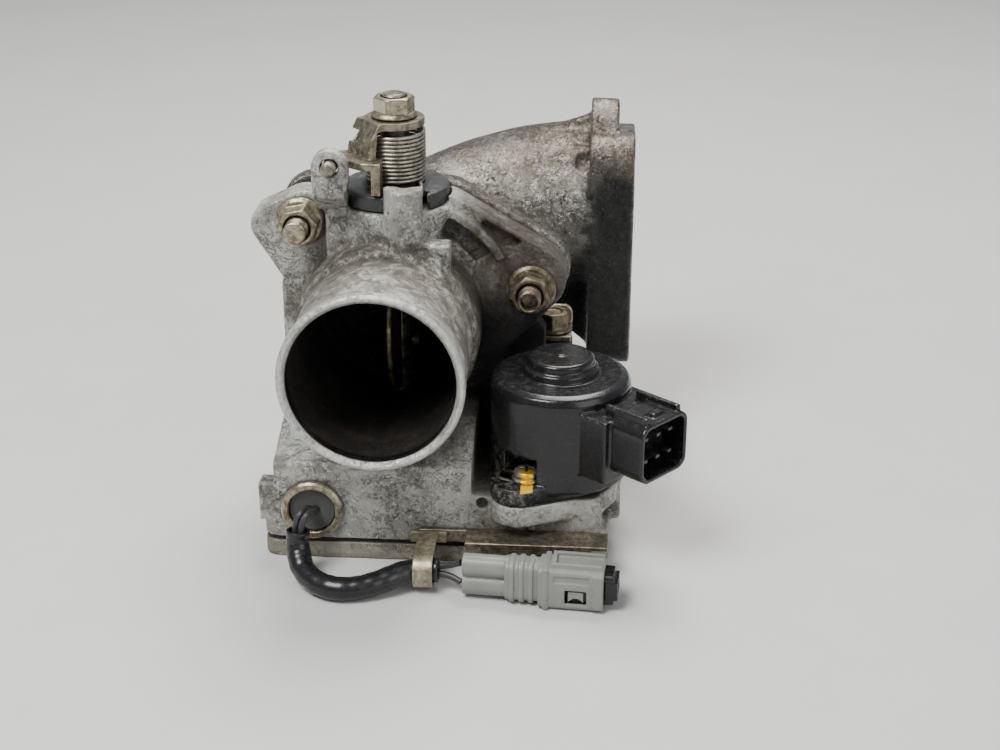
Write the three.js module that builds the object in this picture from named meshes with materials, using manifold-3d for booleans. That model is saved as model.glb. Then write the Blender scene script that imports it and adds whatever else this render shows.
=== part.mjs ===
// Electrically driven intake throttle body with its cast outlet elbow.
// Millimetres, +Z up. The air enters along +Y through the bore, the throttle shaft stands along Z, and
// the elbow turns the air to +X. The origin is on the underside of the gear cover, below the bore's axis.
import * as THREE from 'three';
import { mergeVertices } from 'three/addons/utils/BufferGeometryUtils.js';
import Module from 'manifold-3d';

const wasm = await Module();
wasm.setup();

// ---------------------------------------------------------------- driving dimensions
const GAP = 0.3; // between faces that touch on the real object
const COARSE = 0.75; // share of the stated sides that round pieces are drawn with

const BORE = { z: 72, r: 27, inlet: -63, tubeR: 30, barrelR: 31 };
const FLANGE = { front: -5, back: 7, r: 36 }; // throttle body's joint flange, along Y
const JOINT = { gasket: 0.6, thick: 8 }; // joint gasket and elbow flange
const STUDS = { left: [-30.2, 105.7], right: [47.2, 83.6] }; // x, z of the studs
const REAR_BOLTS = { left: [-29.5, 39.5], right: [31, 39.5] }; // x, z of the bolts from behind
const SHAFT = { x: 1.5, r: 4.75, bottom: 9, top: 149 };
const PLATE = { r: 26.4, thick: 1.7 };
const HOUSING = { x0: -36, x1: 73, y0: -45, y1: 34, bottom: 7.3, ceiling: 22, wall: 4 };
const RIM = { x0: -40.4, x1: 75.5, y0: -45, y1: 37, top: 12.3 }; // housing's foot and the cover's outline
const COVER = { top: 6, gasket: 0.75 };
const MOTOR = { x: 58.3, y: -26, r: 23.4, base: 25.5, flange: 31.3, top: 62.8, turn: -40 };
const MOTOR_EAR = { dx: -12.8, dy: -17.5, r: 9.3 };
const PINION_TEETH = 12;
const WHEEL_TEETH = 48;
const IDLER_TEETH = 14;
const SECTOR_TEETH = 42;
const FAST_MODULE = 1;
const SLOW_MODULE = 1.25;
const TOWER = { r: 19.5, top: 113.2 }; // round tower that carries the upper bearing
const DRUM = { r: 18, bottom: 113.5, top: 118.6 };
const SPRING = { r: 9.7, wire: 1.2, bottom: 119.6, top: 137.6, turns: 12.6, start: -28, step: 36 };
const LEVER = { discR: 10, top: 141, thick: 2.5, footTop: 130, tabBottom: 119.2, stopEdge: -12.2 };
const SWITCH = { x: -23.2, z: 18.6, ringR: 10.5, barrelR: 8.8, pottingR: 7.6 };
const OUTLET = { x0: 65, x1: 81.5, y: 80, z: 86, r: 25 };
const BRACKET = { x: 52, x0: 28.5, x1: 75.5, z0: 11.5, z1: 13.1, front: -55.5, screwZ: 2.8 };
const CLAMP = { x0: 12.6, x1: 19.1, y: -63.2, z: 7, inner: 4.7, outer: 5.8 }; // band round the sleeve
const WIRE = { r: 1.1, apart: 1.25 };
const SLEEVE = { r: 3.9, inner: 3 };
const CONNECTOR = { x: 29, y: -66, turn: -4.3 }; // where the wires go in, and its turn about Z
const RIGHT_EAR = [47.5, 86.5]; // x, z of the middle of the joint flange's right ear
const ARCH = { inner: 42.2, outer: 45.4, from: 31, to: 66 }; // rib on the joint flange, round the bore

// ---------------------------------------------------------------- solids and booleans
function solid(geometry) {
  const bare = geometry.index ? geometry.toNonIndexed() : geometry.clone();
  bare.deleteAttribute('normal');
  bare.deleteAttribute('uv');
  const merged = mergeVertices(bare, 1e-4);
  const vertProperties = new Float32Array(merged.attributes.position.array);
  const corner = (i) => new THREE.Vector3().fromArray(vertProperties, 3 * i);
  const triangles = [];
  let volume = 0;
  for (let i = 0; i < merged.index.count; i += 3) {
    const [a, b, c] = [0, 1, 2].map((k) => merged.index.getX(i + k));
    if (a === b || b === c || c === a) continue;
    triangles.push([a, b, c]);
    volume += corner(a).dot(corner(b).cross(corner(c)));
  }
  const outward = volume > 0 ? triangles : triangles.map(([a, b, c]) => [a, c, b]);
  const triVerts = new Uint32Array(outward.flat());
  return new wasm.Manifold(new wasm.Mesh({ numProp: 3, vertProperties, triVerts }));
}

function join(...solids) {
  return solids.reduce((whole, next) => whole.add(next));
}

function cut(whole, ...tools) {
  return tools.reduce((rest, tool) => rest.subtract(tool), whole);
}

function geometryOf(shape) {
  const mesh = shape.getMesh();
  const geometry = new THREE.BufferGeometry();
  geometry.setAttribute('position', new THREE.BufferAttribute(new Float32Array(mesh.vertProperties), 3));
  geometry.setIndex(new THREE.BufferAttribute(new Uint32Array(mesh.triVerts), 1));
  geometry.computeVertexNormals();
  return geometry;
}

// A box between two corners.
function boxGeometry(x0, x1, y0, y1, z0, z1) {
  const box = new THREE.BoxGeometry(x1 - x0, y1 - y0, z1 - z0);
  return box.translate((x0 + x1) / 2, (y0 + y1) / 2, (z0 + z1) / 2);
}

function block(...corners) {
  return solid(boxGeometry(...corners));
}

// Geometry made along +Y is turned onto an axis and moved; a, b are the two other coordinates.
function aim(geometry, axis, a, b) {
  if (axis === 'x') {
    geometry.rotateZ(-Math.PI / 2);
    geometry.translate(0, a, b);
  } else if (axis === 'y') {
    geometry.translate(a, 0, b);
  } else {
    geometry.rotateX(Math.PI / 2);
    geometry.translate(a, b, 0);
  }
  return geometry;
}

// A round bar along an axis, from one end to the other.
function rod(axis, a, b, from, to, r, sides = 24, rTo = r) {
  const bar = new THREE.CylinderGeometry(rTo, r, to - from, Math.round(sides * COARSE));
  bar.translate(0, (from + to) / 2, 0);
  return solid(aim(bar, axis, a, b));
}

// A turned piece: the profile lists [radius, place along the axis] and is closed.
function turned(axis, a, b, profile, sides = 24) {
  const points = [...profile, profile[0]].map(([r, s]) => new THREE.Vector2(r, s));
  return solid(aim(new THREE.LatheGeometry(points, Math.round(sides * COARSE)), axis, a, b));
}

function ring(axis, a, b, from, to, inner, outer, sides = 24) {
  return turned(axis, a, b, [[inner, from], [outer, from], [outer, to], [inner, to]], sides);
}

function hexagon(axis, a, b, from, to, acrossFlats, turn = 0) {
  const r = acrossFlats / Math.sqrt(3);
  const chamfer = r * 0.1;
  const flat = r * Math.cos(Math.PI / 6);
  const bar = new THREE.CylinderGeometry(r, r, to - from, 6);
  bar.rotateY(turn);
  bar.translate(0, (from + to) / 2, 0);
  const crown = turned(axis, a, b, [[0, from - 1], [r + 1, from - 1], [r + 1, to - chamfer * 0.6],
    [flat, to], [0, to]], 16);
  return solid(aim(bar, axis, a, b)).intersect(crown);
}

// The outline of a rubber band drawn round circles [u, v, r], as a convex polygon.
function band(circles, steps = 16) {
  const points = [];
  for (const [u, v, r] of circles) {
    for (let i = 0; i < steps; i += 1) {
      const angle = (i / steps) * 2 * Math.PI;
      points.push([u + r * Math.cos(angle), v + r * Math.sin(angle)]);
    }
  }
  points.sort((p, q) => p[0] - q[0] || p[1] - q[1]);
  const turn = (o, p, q) => (p[0] - o[0]) * (q[1] - o[1]) - (p[1] - o[1]) * (q[0] - o[0]);
  const half = (list) => {
    const chain = [];
    for (const point of list) {
      while (chain.length > 1 && turn(chain.at(-2), chain.at(-1), point) <= 1e-9) chain.pop();
      chain.push(point);
    }
    chain.pop();
    return chain;
  };
  return [...half(points), ...half(points.reverse())];
}

// An outline extruded: plane 'xy' rises along Z, 'xz' runs along Y and 'yz' along X.
function slabGeometry(outline, plane, from, to) {
  const shape = new THREE.Shape(outline.map(([u, v]) => new THREE.Vector2(u, v)));
  const body = new THREE.ExtrudeGeometry(shape, { depth: to - from, bevelEnabled: false, steps: 1 });
  if (plane === 'xy') body.translate(0, 0, from);
  if (plane === 'xz') {
    body.rotateX(Math.PI / 2);
    body.translate(0, to, 0);
  }
  if (plane === 'yz') {
    body.rotateX(Math.PI / 2);
    body.rotateZ(Math.PI / 2);
    body.translate(from, 0, 0);
  }
  return body;
}

function slab(outline, plane, from, to) {
  return solid(slabGeometry(outline, plane, from, to));
}

function roundedRect(u0, u1, v0, v1, r, steps = 12) {
  return band([[u0 + r, v0 + r, r], [u1 - r, v0 + r, r], [u1 - r, v1 - r, r], [u0 + r, v1 - r, r]], steps);
}

// A tube of round section along a curve.
function sweep(curve, r, steps, sides, hole = 0) {
  const section = new THREE.Shape();
  section.absarc(0, 0, r, 0, 2 * Math.PI);
  if (hole > 0) {
    const bore = new THREE.Path();
    bore.absarc(0, 0, hole, 0, 2 * Math.PI, true);
    section.holes.push(bore);
  }
  const options = { steps, extrudePath: curve, bevelEnabled: false, curveSegments: sides / 2 };
  return solid(new THREE.ExtrudeGeometry(section, options));
}

// Geometry in the motor's own frame: a runs out along its connector, b across it, from the motor's axis.
function atMotor(geometry) {
  geometry.rotateZ((MOTOR.turn * Math.PI) / 180);
  geometry.translate(MOTOR.x, MOTOR.y, 0);
  return solid(geometry);
}

// ---------------------------------------------------------------- finishes and the group
const FINISH = {
  casting: { color: 0xa9a79b, roughness: 0.62, metalness: 0.6 },
  elbowCasting: { color: 0x8f8d86, roughness: 0.6, metalness: 0.6 },
  zinc: { color: 0x9d9784, roughness: 0.42, metalness: 0.8 },
  steel: { color: 0x8a8a88, roughness: 0.35, metalness: 0.9 },
  spring: { color: 0x9a9186, roughness: 0.35, metalness: 0.85 },
  brass: { color: 0xb59a5c, roughness: 0.45, metalness: 0.8 },
  blackPlastic: { color: 0x2c2b2b, roughness: 0.45, metalness: 0 },
  darkPlastic: { color: 0x4b4c4d, roughness: 0.6, metalness: 0 },
  greyPlastic: { color: 0x92948d, roughness: 0.55, metalness: 0 },
  rubber: { color: 0x2b2b2a, roughness: 0.8, metalness: 0 },
  gasket: { color: 0x3b3a38, roughness: 0.85, metalness: 0 },
  nylon: { color: 0xcfc8b4, roughness: 0.6, metalness: 0 },
  copper: { color: 0x9a5b35, roughness: 0.4, metalness: 0.8 },
};

const part = new THREE.Group();

function add(name, shape, finish) {
  const mesh = new THREE.Mesh(geometryOf(shape), new THREE.MeshStandardMaterial(FINISH[finish]));
  mesh.name = name;
  part.add(mesh);
}

// ---------------------------------------------------------------- gear train geometry
const idler = (() => {
  const near = (FAST_MODULE * (PINION_TEETH + WHEEL_TEETH)) / 2;
  const far = (SLOW_MODULE * (IDLER_TEETH + SECTOR_TEETH)) / 2;
  const dx = SHAFT.x - MOTOR.x;
  const dy = -MOTOR.y;
  const span = Math.hypot(dx, dy);
  const along = (near ** 2 - far ** 2 + span ** 2) / (2 * span);
  const off = Math.sqrt(near ** 2 - along ** 2);
  const ux = dx / span;
  const uy = dy / span;
  return { x: MOTOR.x + ux * along + uy * off, y: MOTOR.y + uy * along - ux * off };
})();
const bearing = (from, to) => (Math.atan2(to.y - from.y, to.x - from.x) * 180) / Math.PI;
const shaftAxis = { x: SHAFT.x, y: 0 };
const MESH_SLOW = bearing(shaftAxis, idler);
const MESH_FAST = bearing({ x: MOTOR.x, y: MOTOR.y }, idler);

// A spur gear with a tooth centred on the given direction.
function gear(centre, teeth, module, z0, z1, toothAt, slack = 0.1) {
  const pitch = (teeth * module) / 2;
  const tip = pitch + module * 0.92;
  const root = pitch - module * 1.2;
  const half = Math.PI / (2 * teeth) - slack / pitch;
  const outline = [];
  for (let i = 0; i < teeth; i += 1) {
    const middle = (toothAt * Math.PI) / 180 + (i * 2 * Math.PI) / teeth;
    const corners = [[root, -1.6], [tip, -0.45], [tip, 0.45], [root, 1.6]];
    for (const [r, share] of corners) {
      const angle = middle + half * share;
      outline.push([centre.x + r * Math.cos(angle), centre.y + r * Math.sin(angle)]);
    }
  }
  return slab(outline, 'xy', z0, z1);
}

// ---------------------------------------------------------------- throttle body casting
const COVER_SCREWS = [[-8, -38.5], [66, -37], [66, 27], [-29, 26]];
const MOTOR_SCREWS = [[48.2, -43.8], [71.4, -8.5]];
const MOTOR_EARS = [1, -1].map((side) => [MOTOR.x + side * MOTOR_EAR.dx, MOTOR.y + side * MOTOR_EAR.dy]);
const STAY = { x: 54, y: 16, top: 58 };
const LUG = { x: -17.3, z: 129.2, r: 6.1, front: -21, back: -16.9 };
const POST = { x: 6.3, y: -19, r: 5.8, top: 122.5 };

function flangeOutline(discR, leftEar, rightEarR, lowerEarR) {
  const disc = [0, BORE.z, discR];
  return [
    band([disc, leftEar], 20),
    band([disc, [17, 103.5, rightEarR + 1], [...RIGHT_EAR, rightEarR]], 20),
    band([disc, [...REAR_BOLTS.left, lowerEarR], [...REAR_BOLTS.right, lowerEarR]], 20),
  ];
}

// Part of a ring round the bore, in the XZ plane; the angles are in degrees from +X towards +Z.
function arc(inner, outer, from, to, steps = 6) {
  const at = (r, share) => {
    const angle = THREE.MathUtils.degToRad(from + (to - from) * share);
    return [r * Math.cos(angle), BORE.z + r * Math.sin(angle)];
  };
  const shares = Array.from({ length: steps + 1 }, (_, i) => i / steps);
  return [...shares.map((share) => at(outer, share)), ...shares.reverse().map((share) => at(inner, share))];
}

function airDuct() {
  const body = turned('y', 0, BORE.z, [
    [0, BORE.inlet], [29.2, BORE.inlet], [BORE.tubeR, BORE.inlet + 0.8], [BORE.tubeR, BORE.inlet + 3.4],
    [29.2, BORE.inlet + 4.4], [29.2, -26], [30.8, -24.6], [30.8, -20.4], [BORE.barrelR, -19],
    [BORE.barrelR, 0], [0, 0],
  ], 48);
  const leftTip = band([[-29, 106, 10], [-40.5, 103.8, 7.2], [-35, 88, 3.5]]);
  const outlines = [...flangeOutline(FLANGE.r, [-29, 106, 10], 11.5, 8.6), leftTip];
  const plates = outlines.map((outline) => slab(outline, 'xz', FLANGE.front, FLANGE.back));
  const skirt = block(-38, 38, FLANGE.front, FLANGE.back, 22, 84);
  const wing = slab([[36, 22], [52, 22], [52, 67], [44, 77], [36, 84]], 'xz', 0, FLANGE.back);
  const arch = arc(ARCH.inner, ARCH.outer, ARCH.from, ARCH.to);
  const archRib = slab(arch, 'xz', FLANGE.front - 4, FLANGE.front + 1);
  return join(body, ...plates, skirt, wing, archRib);
}

function upperTower() {
  const front = rod('z', SHAFT.x, 0, 90, TOWER.top, TOWER.r, 36);
  const trimmed = cut(front, block(-30, 30, FLANGE.back, 30, 80, 120));
  const rear = rod('z', SHAFT.x, 0, 104, TOWER.top, 11.4, 28);
  const post = join(
    rod('z', POST.x, POST.y, 90, POST.top, POST.r, 20),
    block(POST.x - POST.r, POST.x + POST.r, POST.y, -12, 90, POST.top),
    block(10, 21.5, -21.5, -14, 92, 104),
  );
  return join(trimmed, rear, post, stopLug());
}

// The lug stands in front of the flange on a web that slopes back to it.
function stopLug() {
  const { x, z, r, front, back } = LUG;
  const lug = slab(band([[x, z, r], [x, 124.5, r]], 20), 'xz', front, back);
  const slope = [[front, 124.5], [front, 119], [-11, 112], [-4.5, 111.3], [-4.5, 112], [back, 122],
    [back, 124.5]];
  const web = slab(slope, 'yz', x - r, -12.6);
  const shoulder = block(-21, -12.6, -11, FLANGE.back, 92, 111);
  return join(lug, web, shoulder);
}

// The outline that the motor's flange shares with the pad under it.
function motorFoot() {
  const ears = MOTOR_EARS.map((place) => [...place, MOTOR_EAR.r]);
  return band([...ears, [MOTOR.x, MOTOR.y, 20]], 24);
}

function gearHousing() {
  const { x0, x1, y0, y1, bottom } = HOUSING;
  const foot = slab(roundedRect(RIM.x0, RIM.x1, RIM.y0, RIM.y1, 5), 'xy', bottom, RIM.top);
  const box = slab(roundedRect(x0, x1, y0, y1, 5), 'xy', bottom, 25.2);
  const rear = slab(roundedRect(x0, x1, 3, y1, 4), 'xy', bottom, 29.5);
  const slope = slab([[-45, 20], [-45, 35], [-24, 42.5], [-4, 47], [-4, 20]], 'yz', x0, 30);
  const leftLug = block(-41.5, -34, -45, -37, 13.5, 27);
  const rightLug = block(72, 79.2, -29, -22, 9.5, 18.5);
  const rib = block(48.6, 51.2, -47.2, -44, 13.5, 18);
  const pad = slab(motorFoot(), 'xy', 17.5, 25.2);
  const stayColumn = rod('z', STAY.x, STAY.y, 20, STAY.top, 7, 24);
  const lowerBoss = rod('z', SHAFT.x, 0, 20, 34.5, 11.4, 28);
  const motorRoom = rod('z', MOTOR.x, MOTOR.y, 25.2, 70, MOTOR.r + 1.4, 36);
  const tray = cut(join(foot, box, rear, slope), motorRoom);
  return join(tray, leftLug, rightLug, rib, pad, stayColumn, lowerBoss);
}

// The hollow under the gear train, with the screw bosses left standing in it.
function housingHollows() {
  const { x0, x1, y0, y1, wall, ceiling } = HOUSING;
  const cavity = slab(roundedRect(x0 + wall, x1 - wall, y0 + wall, y1 - wall, 4), 'xy', 0, ceiling);
  const bosses = COVER_SCREWS.map(([x, y]) => rod('z', x, y, 0, ceiling + 1, 5.2, 16));
  const screwHoles = COVER_SCREWS.map(([x, y]) => rod('z', x, y, 0, 17.5, 2.2, 16));
  return [
    cut(cavity, ...bosses),
    ...screwHoles,
    rod('z', idler.x, idler.y, 20, 24.7, 3.2, 16),
    rod('z', MOTOR.x, MOTOR.y, 20, 30, 12, 28),
    rod('z', MOTOR.x, MOTOR.y, 23, 30, 14, 28),
    ...MOTOR_SCREWS.map(([x, y]) => rod('z', x, y, 19, 30, 2.15, 16)),
    rod('y', SWITCH.x, SWITCH.z, -50, -29.4, SWITCH.barrelR + 0.25, 28),
    rod('y', 33.5, 22.4, -50, -41.5, 1.9, 16),
  ];
}

function throttleBody() {
  const solidBody = join(airDuct(), upperTower(), gearHousing());
  const bore = turned('y', 0, BORE.z, [
    [0, -70], [28.3, -70], [28.3, BORE.inlet], [BORE.r, -61.6], [BORE.r, 10], [0, 10],
  ], 56);
  const pocketFloor = -1;
  const pocket = slab(band([[31.2, 106.2, 1], [37.8, 99.8, 1], [42.5, 99.8, 1]], 12), 'xz', -12, pocketFloor);
  const archPocket = slab(arc(35, ARCH.inner - 0.5, ARCH.from + 5, ARCH.to - 4), 'xz', -12, pocketFloor);
  return cut(
    solidBody,
    bore,
    ...housingHollows(),
    rod('z', SHAFT.x, 0, TOWER.top, 130, DRUM.r + 0.4, 36),
    rod('z', SHAFT.x, 0, 94, 110, 5.05, 24),
    rod('z', SHAFT.x, 0, 103.8, 115, 8.65, 24),
    rod('z', SHAFT.x, 0, 20, 50, 5.05, 24),
    rod('z', SHAFT.x, 0, 20, 34, 8.65, 24),
    rod('y', LUG.x, LUG.z, -25, -10, 2.75, 20),
    ...Object.values(STUDS).map(([x, z]) => rod('y', x, z, -12, 10, 4.3, 16)),
    ...Object.values(REAR_BOLTS).map(([x, z]) => rod('y', x, z, -3, 10, 4.1, 16)),
    rod('z', STAY.x, STAY.y, 42, 60, 3.3, 16),
    pocket,
    archPocket,
  );
}

// ---------------------------------------------------------------- gear cover, its gasket and screws
function coverOutline(inset = 0) {
  return roundedRect(RIM.x0 + inset, RIM.x1 - inset, RIM.y0 + inset, RIM.y1 - inset, 5 - inset);
}

function gearCover() {
  const plate = slab(coverOutline(), 'xy', 0, COVER.top);
  const relief = slab(roundedRect(-30, 58, -26, 28, 6), 'xy', 3.5, COVER.top + 1);
  const drilled = COVER_SCREWS.flatMap(([x, y]) => [
    rod('z', x, y, -1, 8, 2.4, 16),
    rod('z', x, y, -1, 3.7, 4.6, 16),
  ]);
  const pinSeat = rod('z', idler.x, idler.y, 2.8, 8, 3.2, 16);
  return cut(plate, cut(relief, rod('z', idler.x, idler.y, 3, 8, 6, 16)), ...drilled, pinSeat,
    rod('y', BRACKET.x, BRACKET.screwZ, -50, -38, 1.9, 16));
}

function coverGasket() {
  const z0 = COVER.top + 0.25;
  const sheet = slab(coverOutline(1), 'xy', z0, z0 + COVER.gasket);
  const { x0, x1, y0, y1, wall } = HOUSING;
  const window = slab(roundedRect(x0 + wall, x1 - wall, y0 + wall, y1 - wall, 4), 'xy', 0, 10);
  const tabs = COVER_SCREWS.map(([x, y]) => rod('z', x, y, 0, 10, 5.2, 16));
  return cut(sheet, cut(window, ...tabs), ...COVER_SCREWS.map(([x, y]) => rod('z', x, y, 0, 10, 2.5, 16)));
}

function coverScrew([x, y]) {
  const shank = rod('z', x, y, 3, 17, 1.95, 16);
  return join(cut(rod('z', x, y, 0.5, 3.5, 4.2, 16), hexagonHole(x, y)), shank);
}

function hexagonHole(x, y) {
  return solid(new THREE.CylinderGeometry(2, 2, 1.6, 6).rotateX(Math.PI / 2).translate(x, y, 1.2));
}

// ---------------------------------------------------------------- throttle shaft and what it carries
function throttleShaft() {
  const { x, r, bottom, top } = SHAFT;
  const bar = turned('z', x, 0, [
    [0, bottom], [2.9, bottom], [3.4, bottom + 0.5], [3.4, 20.3], [r, 20.3], [r, 138.3], [3.9, 138.3],
    [3.9, top - 0.8], [3.2, top], [0, top],
  ], 24);
  const slot = block(x - PLATE.thick / 2 - 0.2, x + PLATE.thick / 2 + 0.2, -10, 10, 45.2, 98.8);
  const holes = PLATE_SCREWS.map((z) => rod('x', 0, z, -10, 10, 1.7, 16));
  return cut(bar, slot, ...holes);
}

const PLATE_SCREWS = [62, 82];

function throttlePlate() {
  const disc = rod('x', -SHAFT.x, BORE.z, SHAFT.x - PLATE.thick / 2, SHAFT.x + PLATE.thick / 2, PLATE.r, 48);
  return cut(disc, ...PLATE_SCREWS.map((z) => rod('x', 0, z, -10, 10, 1.7, 16)));
}

// A screw through shaft and plate, its tapered head on the shaft's +X side.
function plateScrew(z) {
  const face = SHAFT.x + SHAFT.r + GAP;
  const shank = rod('x', 0, z, SHAFT.x - 4.6, face + 0.5, 1.4, 16);
  return join(shank, rod('x', 0, z, face, face + 1.8, 2.7, 20, 1.9));
}

function ballBearing(z0, z1) {
  return ring('z', SHAFT.x, 0, z0, z1, SHAFT.r + 0.12, 8.45, 24);
}

function shaftSeal(z0, z1) {
  return turned('z', SHAFT.x, 0, [
    [SHAFT.r + 0.15, z0 + 0.8], [5.6, z0], [8.45, z0], [8.45, z1], [7.4, z1], [5.4, z0 + 1.6],
    [SHAFT.r + 0.15, z0 + 1.4],
  ], 24);
}

// Geometry laid out with +X along the lever's wall direction is turned to it and moved to the shaft.
function atLever(geometry) {
  geometry.rotateZ(THREE.MathUtils.degToRad(-140));
  geometry.translate(SHAFT.x, 0, 0);
  return solid(geometry);
}

// The stamped lever: a disc under the nut, a wall turned down, a foot turned out and a tab turned down.
function lever() {
  const { discR, top, thick, footTop, tabBottom } = LEVER;
  const disc = rod('z', SHAFT.x, 0, top - thick, top, discR, 32);
  const footBottom = footTop - thick;
  const wallProfile = [[0, top], [10.3, top], [13.4, top - 5], [14.4, footTop], [14.4, footBottom],
    [11.6, footBottom], [11.6, footTop + 0.5], [10.7, top - thick], [0, top - thick]];
  const wall = atLever(slabGeometry(wallProfile, 'xz', -6.75, 6.75));
  const foot = slab([[-1.2, -18.6], [-1.2, -12], [-5.2, -11.3], [-12.6, -1.5], [-17.6, -3], [-20, -6],
    [-20, LEVER.stopEdge], [-15, LEVER.stopEdge], [-11.2, -15.4], [-7.4, -18.2]], 'xy', footBottom, footTop);
  const tab = block(-4.2, -1.2, -18.6, -12, tabBottom, footTop);
  const clear = rod('z', SHAFT.x, 0, 100, top - thick, SPRING.r + 0.9, 32);
  const slot = atLever(boxGeometry(8.8, 17, -11, -2, 133.5, 137.7));
  return cut(join(disc, wall, foot, tab), clear, slot, rod('z', SHAFT.x, 0, 130, 150, 4.05, 24));
}

function shaftNut() {
  const face = LEVER.top + GAP;
  const skirt = rod('z', SHAFT.x, 0, face, face + 1.6, 7.6, 36, 6.9);
  const hex = hexagon('z', SHAFT.x, 0, face + 1, face + 6.8, 12, Math.PI / 12);
  return cut(join(skirt, hex), rod('z', SHAFT.x, 0, 130, 160, 4.15, 20));
}

// The spring's wire climbs round the shaft from the drum's notch to the lever's slot.
function torsionSpring() {
  const { r, wire, bottom, top, turns, start, step } = SPRING;
  const at = (degrees, radius, z) => new THREE.Vector3(
    SHAFT.x + radius * Math.cos((degrees * Math.PI) / 180), radius * Math.sin((degrees * Math.PI) / 180), z);
  const z0 = bottom + wire / 2;
  const z1 = top - wire / 2;
  const steps = Math.round((turns * 360) / step);
  const points = [at(start - 22, 15.4, z0 - 2.8), at(start - 20, 14.6, z0 - 0.8), at(start - 12, 12.2, z0)];
  for (let i = 0; i <= steps; i += 1) {
    points.push(at(start + i * step, r, z0 + ((z1 - z0) * i) / steps));
  }
  const end = start + steps * step;
  points.push(at(end + 8, 10.7, z1), at(end + 15, 12.2, z1 - 1), at(end + 21, 14, z1 - 2.2));
  return sweep(new THREE.CatmullRomCurve3(points), wire / 2, steps + 8, 5);
}

// A shallow dark cup on the tower: it seats the spring and keeps dirt off the seal.
function springDrum() {
  const { r, bottom, top } = DRUM;
  const cup = turned('z', SHAFT.x, 0, [
    [6.2, top - 2.2], [r - 2, top - 2.2], [r - 2, bottom], [r, bottom], [r, top - 0.6], [r - 0.6, top],
    [11, top], [10.6, top + 0.7], [6.2, top + 0.7],
  ], 36);
  const notch = block(9.6, 13.4, -20, -8.6, bottom - 1, top + 1);
  const step = block(9.6, 17, -20, -12.4, bottom - 1, bottom + 2.2);
  return cut(cup, notch, step);
}

function stopScrew() {
  const tip = LEVER.stopEdge - GAP;
  const bar = turned('y', LUG.x, LUG.z, [
    [0, -24], [1.7, -24], [2.5, -23.2], [2.5, tip - 0.8], [1.7, tip], [0, tip],
  ], 16);
  return cut(bar, hexSocket(LUG.x, -24, LUG.z));
}

function hexSocket(x, y, z) {
  return solid(new THREE.CylinderGeometry(1.2, 1.2, 3, 6).translate(x, y + 1.2, z));
}

// ---------------------------------------------------------------- gear train
function sectorGear() {
  const z0 = 15;
  const z1 = 20;
  const teeth = gear(shaftAxis, SECTOR_TEETH, SLOW_MODULE, z0, z1, MESH_SLOW + 180 / SECTOR_TEETH);
  const fan = [[SHAFT.x, 0]];
  for (let degrees = MESH_SLOW - 18; degrees <= MESH_SLOW + 102; degrees += 10) {
    const angle = (degrees * Math.PI) / 180;
    fan.push([SHAFT.x + 40 * Math.cos(angle), 40 * Math.sin(angle)]);
  }
  const sector = teeth.intersect(slab(fan, 'xy', z0 - 1, z1 + 1));
  const hub = rod('z', SHAFT.x, 0, z0, z1, 8.6, 24);
  return cut(join(sector, hub), rod('z', SHAFT.x, 0, 10, 30, 3.55, 20));
}

function gearNut() {
  const hex = hexagon('z', SHAFT.x, 0, 9.9, 14.3, 10);
  return cut(hex, rod('z', SHAFT.x, 0, 5, 20, 3.55, 16));
}

function idlerGear() {
  const wheel = gear(idler, WHEEL_TEETH, FAST_MODULE, 8.6, 13.4, MESH_FAST + 180);
  const small = gear(idler, IDLER_TEETH, SLOW_MODULE, 13.4, 20.4, MESH_SLOW + 180);
  return cut(join(wheel, small), rod('z', idler.x, idler.y, 5, 25, 3.15, 20));
}

function idlerPin() {
  const profile = [[0, 3.1], [2.5, 3.1], [2.9, 3.6], [2.9, 24], [2.5, 24.4], [0, 24.4]];
  return turned('z', idler.x, idler.y, profile, 20);
}

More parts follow.
